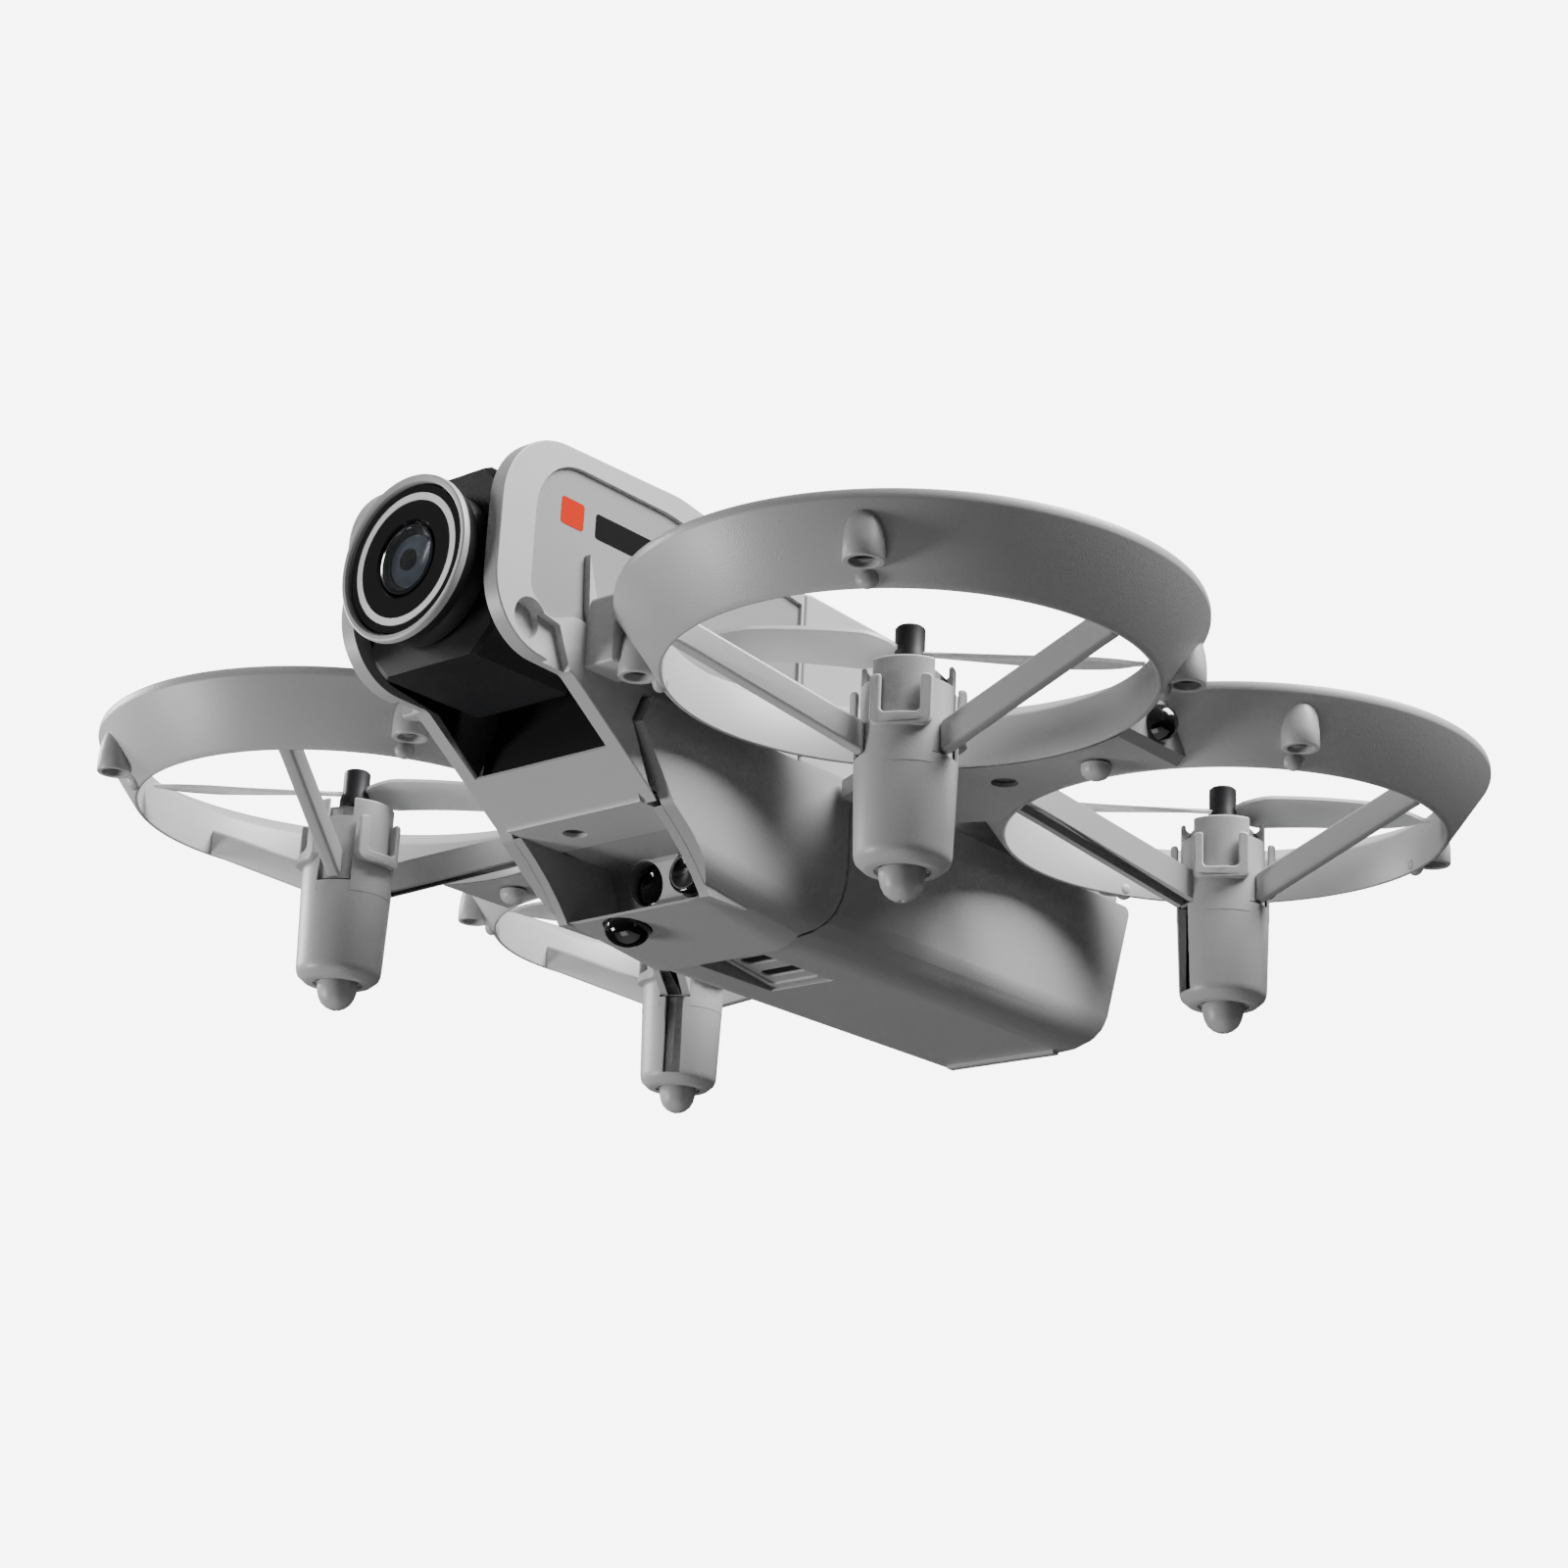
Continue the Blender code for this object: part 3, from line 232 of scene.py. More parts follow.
def newGroup(name, inputs, outputs):
    group = bpy.data.node_groups.new(name, "ShaderNodeTree")
    for label, kind, value in inputs:
        socket = group.interface.new_socket(label, in_out="INPUT", socket_type=kind)
        socket.default_value = value
    for label, kind in outputs:
        group.interface.new_socket(label, in_out="OUTPUT", socket_type=kind)
    return group, group.nodes.new("NodeGroupInput"), group.nodes.new("NodeGroupOutput")


def buildMouldGrain():
    # fine spark-eroded texture of moulded plastic, with slow shifts of tone and gloss
    group, given, out = newGroup(
        "mouldGrain",
        [("Grain Size", "NodeSocketFloat", 5200.0), ("Patch Size", "NodeSocketFloat", 34.0)],
        [("Height", "NodeSocketFloat"), ("Tone", "NodeSocketFloat"), ("Gloss", "NodeSocketFloat")],
    )
    nodes, links = group.nodes, group.links
    coords = nodes.new("ShaderNodeTexCoord")
    grain = nodes.new("ShaderNodeTexNoise")
    grain.inputs["Detail"].default_value = 3.0
    pits = nodes.new("ShaderNodeTexVoronoi")
    patch = nodes.new("ShaderNodeTexNoise")
    patch.inputs["Detail"].default_value = 4.0
    patch.inputs["Roughness"].default_value = 0.6
    smear = nodes.new("ShaderNodeTexNoise")
    smear.inputs["Scale"].default_value = 160.0
    for node in (grain, pits, patch, smear):
        links.new(coords.outputs["Object"], node.inputs["Vector"])
    links.new(given.outputs["Grain Size"], grain.inputs["Scale"])
    links.new(given.outputs["Grain Size"], pits.inputs["Scale"])
    links.new(given.outputs["Patch Size"], patch.inputs["Scale"])
    mixed = nodes.new("ShaderNodeMath")
    mixed.operation = "MULTIPLY_ADD"
    mixed.inputs[1].default_value = 0.6
    links.new(pits.outputs["Distance"], mixed.inputs[0])
    links.new(grain.outputs["Fac"], mixed.inputs[2])
    gloss = nodes.new("ShaderNodeMath")
    gloss.operation = "MULTIPLY"
    links.new(patch.outputs["Fac"], gloss.inputs[0])
    links.new(smear.outputs["Fac"], gloss.inputs[1])
    links.new(mixed.outputs[0], out.inputs["Height"])
    links.new(patch.outputs["Fac"], out.inputs["Tone"])
    links.new(gloss.outputs[0], out.inputs["Gloss"])
    return group


def buildEdgeHighlight():
    # 1 along corners, 0 on flats; the mask for a painted highlight along the edges
    group, given, out = newGroup(
        "edgeHighlight",
        [("Width", "NodeSocketFloat", 0.0004), ("Break Up", "NodeSocketFloat", 420.0)],
        [("Mask", "NodeSocketFloat")],
    )
    nodes, links = group.nodes, group.links
    bevel = nodes.new("ShaderNodeBevel")
    bevel.samples = 4
    shape = nodes.new("ShaderNodeNewGeometry")
    dot = nodes.new("ShaderNodeVectorMath")
    dot.operation = "DOT_PRODUCT"
    ramp = nodes.new("ShaderNodeMapRange")
    ramp.inputs["From Min"].default_value, ramp.inputs["From Max"].default_value = 0.995, 0.8
    noise = nodes.new("ShaderNodeTexNoise")
    coords = nodes.new("ShaderNodeTexCoord")
    both = nodes.new("ShaderNodeMath")
    both.operation = "MULTIPLY"
    links.new(given.outputs["Width"], bevel.inputs["Radius"])
    links.new(bevel.outputs["Normal"], dot.inputs[0])
    links.new(shape.outputs["Normal"], dot.inputs[1])
    links.new(dot.outputs["Value"], ramp.inputs["Value"])
    links.new(coords.outputs["Object"], noise.inputs["Vector"])
    links.new(given.outputs["Break Up"], noise.inputs["Scale"])
    links.new(ramp.outputs["Result"], both.inputs[0])
    links.new(noise.outputs["Fac"], both.inputs[1])
    links.new(both.outputs[0], out.inputs["Mask"])
    return group


mouldGrain = buildMouldGrain()
edgeHighlight = buildEdgeHighlight()


def buildFinish(name, colour, rough, grain=5200.0, bump=0.25, shift=0.05, highlight=0.12, metal=0.0, shine=0.5,
                coat=0.0, seeThrough=0.0, ior=1.5):
    # shift is how far the colour wanders; the corner amount sets how strongly a painted highlight lightens the corners
    finish = bpy.data.materials.new(name)
    finish.use_nodes = True
    nodes, links = finish.node_tree.nodes, finish.node_tree.links
    shader = nodes["Principled BSDF"]
    surface = nodes.new("ShaderNodeGroup")
    surface.node_tree = mouldGrain
    surface.inputs["Grain Size"].default_value = grain
    highlightMask = nodes.new("ShaderNodeGroup")
    highlightMask.node_tree = edgeHighlight
    tone = nodes.new("ShaderNodeMix")
    tone.data_type = "RGBA"
    tone.inputs["A"].default_value = (*[c * (1 - shift) for c in colour], 1)
    tone.inputs["B"].default_value = (*[min(1, c * (1 + shift)) for c in colour], 1)
    links.new(surface.outputs["Tone"], tone.inputs["Factor"])
    # painted highlight: corners are mixed towards a lighter version of the colour
    highlighted = nodes.new("ShaderNodeMix")
    highlighted.data_type = "RGBA"
    highlighted.inputs["B"].default_value = (*[min(1, c * 1.25 + 0.06) for c in colour], 1)
    amount = nodes.new("ShaderNodeMath")
    amount.operation = "MULTIPLY"
    amount.inputs[1].default_value = highlight * 2
    links.new(highlightMask.outputs["Mask"], amount.inputs[0])
    links.new(amount.outputs[0], highlighted.inputs["Factor"])
    links.new(tone.outputs["Result"], highlighted.inputs["A"])
    links.new(highlighted.outputs["Result"], shader.inputs["Base Color"])
    gloss = nodes.new("ShaderNodeMapRange")
    gloss.inputs["To Min"].default_value = max(0.02, rough - 0.05)
    gloss.inputs["To Max"].default_value = min(1.0, rough + 0.12)
    links.new(surface.outputs["Gloss"], gloss.inputs["Value"])
    links.new(gloss.outputs["Result"], shader.inputs["Roughness"])
    relief = nodes.new("ShaderNodeBump")
    relief.inputs["Strength"].default_value = bump
    relief.inputs["Distance"].default_value = 0.00006
    links.new(surface.outputs["Height"], relief.inputs["Height"])
    links.new(relief.outputs["Normal"], shader.inputs["Normal"])
    shader.inputs["Metallic"].default_value = metal
    shader.inputs["IOR"].default_value = ior
    shader.inputs["Coat Weight"].default_value = coat
    shader.inputs["Coat Roughness"].default_value = 0.06
    shader.inputs["Transmission Weight"].default_value = seeThrough
    shader.inputs["Specular IOR Level"].default_value = shine
    return finish


shellGrey = buildFinish("shellGrey", (0.42, 0.42, 0.425), 0.40)
# darker copy of the shell grey for the cheek's sunken panel: painted shade for the panel lying in shadow
panelShadeGrey = buildFinish("panelShadeGrey", (0.25, 0.25, 0.255), 0.50, shine=0.3)
lowerGrey = buildFinish("lowerGrey", (0.32, 0.32, 0.325), 0.42)
charcoal = buildFinish("charcoal", (0.016, 0.016, 0.018), 0.45, bump=0.2, highlight=0.05, shine=0.3)
glossBlack = buildFinish("glossBlack", (0.006, 0.006, 0.007), 0.12, bump=0.02, highlight=0.02, coat=0.6)
whiteAccent = buildFinish("whiteAccent", (0.88, 0.88, 0.88), 0.35, bump=0.1, shift=0.02)
bladeWhite = buildFinish("bladeWhite", (0.78, 0.78, 0.79), 0.30, bump=0.08, shift=0.02)
motorSteel = buildFinish("motorSteel", (0.42, 0.42, 0.43), 0.28, grain=2600.0, bump=0.1, metal=1.0)
screwSteel = buildFinish("screwSteel", (0.10, 0.10, 0.105), 0.34, grain=2600.0, bump=0.15, metal=1.0)
boardGreen = buildFinish("boardGreen", (0.02, 0.10, 0.04), 0.35, grain=1500.0, bump=0.3)
cellWrap = buildFinish("cellWrap", (0.03, 0.09, 0.30), 0.30, grain=900.0, bump=0.1)
contactBrass = buildFinish("contactBrass", (0.80, 0.55, 0.20), 0.22, grain=2600.0, bump=0.1, metal=1.0)
orangeInk = buildFinish("orangeInk", (0.50, 0.016, 0.0), 0.6, bump=0.1, shift=0.02, highlight=0.0, shine=0.05)
blackInk = buildFinish("blackInk", (0.004, 0.004, 0.004), 0.6, bump=0.1, highlight=0.0, shine=0.05)
# near-black with little shine, so pieces in it read dark under any lamp: painted shade for hollows
shadeBlack = buildFinish("shadeBlack", (0.007, 0.007, 0.008), 0.65, bump=0.3, highlight=0.0, shine=0.2)
wireBlack = buildFinish("wireBlack", (0.012, 0.012, 0.012), 0.5, grain=1800.0, bump=0.4, highlight=0.0)
lensDark = buildFinish("lensDark", (0.012, 0.014, 0.018), 0.10, bump=0.0, coat=1.0)
lensBlue = buildFinish("lensBlue", (0.10, 0.13, 0.17), 0.18, bump=0.0, coat=1.0)
clearGlass = buildFinish(
    "clearGlass", (0.98, 0.99, 1.0), 0.02, bump=0.0, shift=0.0, highlight=0.0, seeThrough=1.0, ior=1.45
)
slotFinish = {
    "shell_grey": shellGrey, "lower_shell_grey": lowerGrey, "charcoal": charcoal, "gloss_black": glossBlack,
    "white_accent": whiteAccent, "lens_glass": lensDark, "blade_white": bladeWhite, "motor_steel": motorSteel,
    "screw_steel": screwSteel, "board_green": boardGreen, "cell_wrap": cellWrap, "contact_brass": contactBrass,
}
for node in frame["nodes"].values():  # every CAD node that stays showing gets its slot's finish
    for slot in node.material_slots:
        slot.material = slotFinish.get(slot.material.name.split(".")[0], shellGrey)
print("finishes made")


# guard rings, pods and propellers, each drawn for the front left corner and mirrored

ring = dict(outer=32.0, top=32.7, lip=1.2, foot=24.15, footR=26.85, inner=26.4, bandTop=29.45, steps=144)
boss = dict(angles=(-61, 41, -150), out=29.75, radius=2.15, low=25.6, hole=1.5, deep=2.4)
spoke = dict(plain=(0, -120), channel=120, thick=1.8, tall=3.6, wide=4.2, slot=2.0, rootR=5.0, rootZ=15.3)
pod = dict(radius=5.55, low=3.2, lowR=5.2, chamfer=1.1, top=15.0, tabTop=23.4, ridgeZ=17.6, proud=0.75,
           wide=6.7, arm=1.25, sill=18.9, clips=(60, 180, -60), slot=2.5, sleeve=5.05, sleeveTop=25.8, bore=4.45)
prop = dict(reach=25.2, height=28.0, chord=6.4, pitch=14.0, hub=1.65, hubLow=26.0, hubTop=30.7, rest=40.0)


def wallAt(height):
    # outside radius of a ring at this height
    share = (height - ring["foot"]) / (ring["top"] - ring["lip"] - ring["foot"])
    return ring["footR"] + (ring["outer"] - ring["footR"]) * share


def cornerPlace(corner):
    side, end = corners[corner]
    axle = axles["rotor_" + corner]
    return Matrix.Translation((axle.x, axle.y, 0)) @ Matrix.Diagonal((side, -end, 1, 1))


def ringForm():
    seam = ring["top"] - ring["lip"]
    outer, inner = ring["outer"], ring["inner"]
    profile = [
        (outer - 0.75, ring["top"]), (outer - 0.35, ring["top"] - 0.06), (outer - 0.1, ring["top"] - 0.25),
        (outer, ring["top"] - 0.55), (outer, seam + 0.1), (outer - 0.08, seam - 0.12),
        (wallAt(ring["foot"] + 0.5), ring["foot"] + 0.5), (ring["footR"] + 0.02, ring["foot"] + 0.12),
        (ring["footR"] - 0.12, ring["foot"]), (inner + 0.1, ring["foot"]), (inner, ring["foot"] + 0.12),
        (inner, ring["bandTop"] + 0.3), (inner + 0.25, ring["bandTop"] + 0.75), (outer - 1.6, ring["top"] - 0.35),
        (outer - 1.2, ring["top"] - 0.08),
    ]
    form = spunForm(profile, ring["steps"])
    axle = axles["rotor_front_left"]
    inboard = (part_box("front_cover")[1].x - axle.x) / mm + 0.02
    across = (middleY - axle.y) / mm - 0.1
    return combined(form, [
        boxForm((inboard - 20, -40, 20), (inboard, 40, 40)),
        boxForm((-40, across, 20), (40, across + 9, 40)),
    ])


def bossForm(angle):
    low, out, r = boss["low"], boss["out"], boss["radius"]
    profile = [
        (0, 31.75), (0.7, 31.6), (1.25, 31.15), (1.7, 30.3), (2.0, 29.1), (r, 27.6), (r, low + 0.15),
        (r - 0.12, low), (boss["hole"] + 0.1, low), (boss["hole"], low + 0.1), (boss["hole"], low + boss["deep"]),
        (0, low + boss["deep"]),
    ]
    form = moved(spunForm(profile, 40, closed=False), Matrix.Translation((out * mm, 0, 0)))
    bump = bmesh.new()
    bmesh.ops.create_uvsphere(bump, u_segments=20, v_segments=12, radius=1.25 * mm)
    bmesh.ops.scale(bump, vec=(0.75, 1.0, 1.0), verts=bump.verts)
    moved(bump, Matrix.Translation(((wallAt(25.1) - 0.35) * mm, 0, 25.1 * mm)))
    return turned(gathered([form, bump]), angle)


def bossScrewForm(angle):
    low = boss["low"] + 0.9
    head = rodForm((boss["out"], 0, low), (boss["out"], 0, low + 1.6), 1.35)
    out, slots = boss["out"], ((0.8, 0.16), (0.16, 0.8))
    cross = [boxForm((out - a, -b, low - 1), (out + a, b, low + 0.45)) for a, b in slots]
    return turned(combined(head, cross), angle)


def spokeForm(angle, thick):
    root, rootZ, tall = spoke["rootR"], spoke["rootZ"], spoke["tall"]
    tip, foot = ring["inner"] + 0.25, ring["foot"]
    outline = [(root, rootZ), (tip - 2, foot - 0.75), (tip, foot), (tip, foot + tall), (root, rootZ + tall)]
    return turned(slabForm(outline, -thick / 2, thick / 2, "y"), angle)


def channelForm():
    bar = spokeForm(spoke["channel"], spoke["wide"])
    slot = spokeForm(spoke["channel"], spoke["slot"])
    return combined(bar, [moved(slot, Matrix.Translation((0, 0, -1.5 * mm)))])


def channelWires():
    # three thin leads that lie along the channel's floor
    leads = []
    turn = math.radians(spoke["channel"])
    for shift in (-0.55, 0.0, 0.55):
        start = Matrix.Rotation(turn, 3, "Z") @ Vector((5.6, shift, 16.9))
        end = Matrix.Rotation(turn, 3, "Z") @ Vector((25.6, shift, 25.1))
        leads.append(rodForm(start, end, 0.27, steps=12))
    return gathered(leads)


def sleeveForm():
    outer, bore, low, top = pod["sleeve"], pod["bore"], pod["top"] + 0.3, pod["sleeveTop"]
    profile = [
        (outer - 0.2, top), (outer, top - 0.2), (outer, low), (bore, low), (bore, top - 0.15), (bore + 0.12, top),
    ]
    form = spunForm(profile, 72)
    low, high = (0, -1.6, pod["tabTop"]), (8, 1.6, top + 1)
    notches = [turned(boxForm(low, high), angle) for angle in (0, 120, -120)]
    return combined(form, notches)


def clipForm(outer, low, top):
    half = math.degrees(math.asin(pod["wide"] / 2 / outer))
    wedge = []
    for step in range(-10, 11):
        angle = math.radians(half * step / 10)
        wedge.append((outer * math.cos(angle), outer * math.sin(angle)))
    inner = pod["sleeve"] + 0.25
    for step in range(10, -11, -1):
        angle = math.radians(half * step / 10)
        wedge.append((inner * math.cos(angle), inner * math.sin(angle)))
    return slabForm(wedge, low, top, "z")


def podForm():
    r, low, lowR, ch = pod["radius"], pod["low"], pod["lowR"], pod["chamfer"]
    profile = [
        (r, pod["top"]), (lowR + 0.03, low + ch + 0.7), (lowR - 0.04, low + ch + 0.2), (lowR - 0.22, low + ch - 0.25),
        (lowR - ch + 0.05, low + 0.12), (lowR - ch - 0.25, low), (3.05, low), (3.05, low + 0.4), (1.5, low + 0.4),
        (1.5, low + ch + 0.3), (pod["bore"], low + ch + 0.3), (pod["bore"], pod["top"]),
    ]
    form = spunForm(profile, 72)
    side = pod["slot"] / 2
    slot = turned(boxForm((0, -side, low + ch + 0.2), (8, side, pod["top"] + 1)), spoke["channel"])
    form = combined(form, [slot])
    tabs = [turned(clipForm(r, pod["top"] - 1.2, pod["sill"]), angle) for angle in pod["clips"]]
    return gathered([form, *tabs])


def bowForm(angle):
    # raised U that hooks over the motor sleeve, bent round the pod
    half, arm, low, top = pod["wide"] / 2, pod["arm"], pod["ridgeZ"], pod["tabTop"]
    sill = pod["sill"] + 0.1
    outline = roundedOutline([
        (-half, low, 1.1), (-1.2, low, 0), (0, low, 0), (1.2, low, 0), (half, low, 1.1), (half, top, 0.45),
        (half - arm, top, 0.45), (half - arm, sill, 0.6), (0.9, sill, 0), (0, sill, 0), (-0.9, sill, 0),
        (arm - half, sill, 0.6), (arm - half, top, 0.45), (-half, top, 0.45),
    ], 0.3)
    outer = pod["radius"] + pod["proud"]
    form = slabForm(outline, outer - 1.0, outer)
    for vert in form.verts:
        vert.co.x -= outer * mm - math.sqrt((outer * mm) ** 2 - vert.co.y ** 2)
    return turned(form, angle)


def footForm():
    profile = [
        (0, 4.25), (1.2, 4.25), (1.2, 3.35), (2.5, 3.35), (2.52, 3.1), (2.42, 2.3), (2.2, 1.5), (1.85, 0.85),
        (1.3, 0.35), (0.75, 0.08), (0.45, 0.0), (0.3, 0.02), (0.22, 0.25), (0, 0.28),
    ]
    return spunForm(profile, 48, closed=False)


def hubForm():
    r, low, top = prop["hub"], prop["hubLow"], prop["hubTop"]
    profile = [
        (0, top - 0.5), (0.55, top - 0.5), (0.62, top), (r - 0.25, top), (r, top - 0.25), (r, low + 1.6),
        (r + 0.25, low + 0.9), (r + 0.25, low), (0.8, low), (0.8, top - 0.9), (0, top - 0.9),
    ]
    return spunForm(profile, 40, closed=False)


def bladeForm(turn):
    form = bmesh.new()
    bmesh.ops.create_grid(form, x_segments=28, y_segments=8, size=0.5)
    for vert in form.verts:
        along, across = vert.co.x + 0.5, vert.co.y
        bulge = math.sin(math.pi * min(1, along * 1.05) ** 0.8) ** 0.8 if along > 0.02 else 0
        wide = 0.30 + 0.95 * bulge
        wide = min(1.0, wide) * (1 - max(0, along - 0.86) ** 2 * 42)
        radius = prop["hub"] * 0.7 + (prop["reach"] - prop["hub"] * 0.7) * along
        chord = prop["chord"] * max(0.12, wide) * across
        tilt = math.radians(prop["pitch"] * (1.9 - 1.2 * along))
        camber = 0.35 * (0.25 - across * across)
        sweep = 0.9 * math.sin(math.pi * along)
        spot = Vector((chord + sweep, camber * 2.2))
        vert.co = Vector((
            radius, spot.x * math.cos(tilt) - spot.y * math.sin(tilt),
            prop["height"] + spot.x * math.sin(tilt) * 0.75 + spot.y * math.cos(tilt) - 0.15,
        )) * mm
    bmesh.ops.recalc_face_normals(form, faces=form.faces)
    bmesh.ops.solidify(form, geom=form.faces, thickness=0.42 * mm)
    return turned(form, turn)


for corner in corners:
    place = cornerPlace(corner)
    rotor = "rotor_" + corner
    duct, rim = "duct_" + corner, "guard_rim_" + corner
    addPiece("guard_ring_" + corner, ringForm(), shellGrey, "airframe", [duct, rim], place)
    bosses = gathered([bossForm(angle) for angle in boss["angles"]])
    addPiece("screw_bosses_" + corner, bosses, shellGrey, "airframe", (), place, sharp=40)
    screws = gathered([bossScrewForm(angle) for angle in boss["angles"]])
    addPiece("boss_screws_" + corner, screws, screwSteel, "airframe", (), place)
    spokes = gathered([spokeForm(angle, spoke["thick"]) for angle in spoke["plain"]])
    addPiece("spokes_" + corner, spokes, shellGrey, "airframe", (), place, edge=0.45)
    addPiece("wire_channel_" + corner, channelForm(), shellGrey, "airframe", (), place, edge=0.3)
    addPiece("motor_leads_" + corner, channelWires(), wireBlack, "airframe", (), place)
    addPiece("motor_sleeve_" + corner, sleeveForm(), shellGrey, "airframe", (), place, edge=0.12)
    pods = ["motor_pod_" + corner]
    addPiece("pod_cup_" + corner, podForm(), shellGrey, "airframe", pods, place, sharp=40)
    bows = gathered([bowForm(angle) for angle in pod["clips"]])
    addPiece("pod_clips_" + corner, bows, shellGrey, "airframe", (), place, edge=0.28)
    feet = ["foot_" + corner]
    addPiece("foot_dome_" + corner, footForm(), shellGrey, "airframe", feet, place, sharp=50)
    blades = gathered([bladeForm(turn) for turn in (0, 180)])
    side, end = corners[corner]
    rest = Matrix.Rotation(math.radians(prop["rest"]), 4, "Z")
    axle = Matrix.Translation((axles[rotor].x, axles[rotor].y, 0))
    spinPlace = axle @ rest @ Matrix.Diagonal((side, -end, 1, 1))
    props = ["propeller_" + corner]
    addPiece("prop_blades_" + corner, blades, bladeWhite, rotor, props, spinPlace, sharp=50)
    addPiece("prop_hub_" + corner, hubForm(), charcoal, rotor, (), spinPlace)
print("corners made")


# nose cover with its cheeks

cheek = dict(front=-63.0, low=26.4, crown=52.6, crownY=-35.0, half=12.3, seamY=-12.15, seamZ=49.1,
             bayX=10.3, bulkhead=-39.2, wall=1.2, edge=0.8, panelDepth=0.45, ledgeZ=15.5, ledgeEnd=-27.6)


def cheekOutline():
    return roundedOutline([
        (cheek["front"], cheek["low"], 8.0), (cheek["front"], cheek["crown"] - 1.0, 9.5),
        (cheek["crownY"], cheek["crown"], 12.0), (cheek["seamY"], cheek["seamZ"], 0), (cheek["seamY"], 27.0, 0),
        (-39.2, 27.0, 0), (-40.6, 23.7, 0), (-37.4, 17.1, 0), (-35.8, cheek["ledgeZ"], 0),
        (-50.6, cheek["low"] - 0.4, 1.5),
    ])


def panelOutline(shrink):
    # the sunken field on a cheek; it runs back into the spine's side
    front, top, low = -57.9 + shrink, 49.8 - shrink, 28.6 + shrink
    return roundedOutline([
        (front, 33.2, 2.5), (front, top, 7.0), (-36.8, top + 0.1, 14.0), (cheek["seamY"] - 0.6, 47.0 - shrink, 0),
        (cheek["seamY"] - 0.6, low, 0), (-44.5, low, 3.0), (-49.0, 33.0 + shrink, 4.0), (-54.6, 30.9 + shrink, 2.0),
    ], 0.6)


def gussetForm(side):
    # block that ties a cheek to the front ring, with a thin fin running up the cheek
    outline = [(-48.9, 27.0), (-48.9, 34.9), (-48.3, 35.4), (-45.9, 34.6), (-43.2, 27.0)]
    block = softened(slabForm(outline, 12.0, 16.7), 0.35)
    fin = slabForm([(-49.5, 40.2), (-49.1, 34.0), (-47.2, 27.4), (-45.8, 27.4), (-47.6, 34.0)], 11.8, 12.75)
    whole = gathered([block, fin])
    return moved(whole, Matrix.Diagonal((side, 1, 1, 1)))


def bayShadeSheet(side):
    # dark sheet between a cheek and the camera: painted shade inside the camera bay
    field = roundedOutline([
        (-60.9, 32.5, 2.0), (-60.9, 49.4, 6.5), (-39.3, 51.4, 0), (-39.3, 27.2, 0), (-40.8, 23.8, 0), (-42.1, 20.7, 0),
        (-48.9, 26.0, 1.0), (-57.5, 27.4, 3.5),
    ], 0.7)
    low, high = sorted((side * 10.1, side * 10.32))
    return slabForm(field, low, high)


def noseForm():
    half, wall, bay = cheek["half"], cheek["wall"], cheek["bayX"]
    form = softened(
        slabForm(cheekOutline(), -half, half), cheek["edge"], 4,
        where=lambda spot: abs(spot.x) > half - 0.01,
    )
    ledgeEnd, ledgeZ = cheek["ledgeEnd"], cheek["ledgeZ"]
    ledge = [(-37.4, 17.1), (-36.6, ledgeZ), (ledgeEnd, ledgeZ), (ledgeEnd, 17.1)]
    form = combined(form, [slabForm(ledge, -10.4, 10.4)], "UNION")
    back = cheek["bulkhead"]
    opening = [
        (-75, 5), (-44.0, 5), (-42.3, 20.45), (-40.9, 20.45), (-40.9, 23.5), (back, 27.1), (back, 60), (-75, 60),
    ]
    inside = [(back + wall, 26), (-11, 26), (-11, 47.9), (-35, 51.4), (back + wall, 51.4)]
    cutters = [
        slabForm(opening, -bay, bay), slabForm(inside, wall - half, half - wall),
        rodForm((-4.0, -32.0, 10), (-4.0, -32.0, 20), 1.45), rodForm((-11.6, -52.5, 37.1), (11.6, -52.5, 37.1), 1.8),
    ]
    for side in (-1, 1):
        panel = panelOutline(0)
        deep, out = sorted((side * (half - cheek["panelDepth"]), side * (half + 1)))
        cutters.append(slabForm(panel, deep, out))
        facet = [(-55.6, 31.2), (-57.1, 26.8), (-50.6, 25.2), (-53.0, 30.7)]
        deep, out = sorted((side * (half - 1.0), side * (half + 1)))
        cutters.append(slabForm(facet, deep, out))
        inner, outer = side * (half - 1.7), side * (half + 0.1)
        cutters.append(rodForm((inner, -57.5, 29.9), (outer, -57.5, 29.9), 2.05, 2.45, 48))
    return combined(form, cutters)


addPiece("nose_cover", noseForm(), shellGrey, "airframe", ["front_cover"], edge=0.14)
for side, name in ((1, "left"), (-1, "right")):
    face = cheek["half"] - cheek["panelDepth"]
    low, high = sorted((side * (face - 0.05), side * (face + 0.06)))
    bars = (
        ("mark_bar_short_", orangeInk, -53.7, -50.1, 42.8, 46.0),
        ("mark_bar_long_", blackInk, -48.2, -38.4, 42.8, 45.8),
    )
    for kind, ink, front, back, bottom, top in bars:
        bar = roundedBlock(front, bottom, back, top, 0.4, 0.2)
        addPiece(kind + name, slabForm(bar, low, high), ink, "airframe")
    # the panel insert is coloured darker than the rim around it: painted shade
    panel = slabForm(panelOutline(0.12), *sorted((side * (face - 0.4), side * (face + 0.02))))
    addPiece("cheek_panel_" + name, panel, panelShadeGrey, "airframe")
    addPiece("ring_gusset_" + name, gussetForm(side), shellGrey, "airframe", edge=0.1)
    addPiece("bay_shade_sheet_" + name, bayShadeSheet(side), shadeBlack, "airframe")
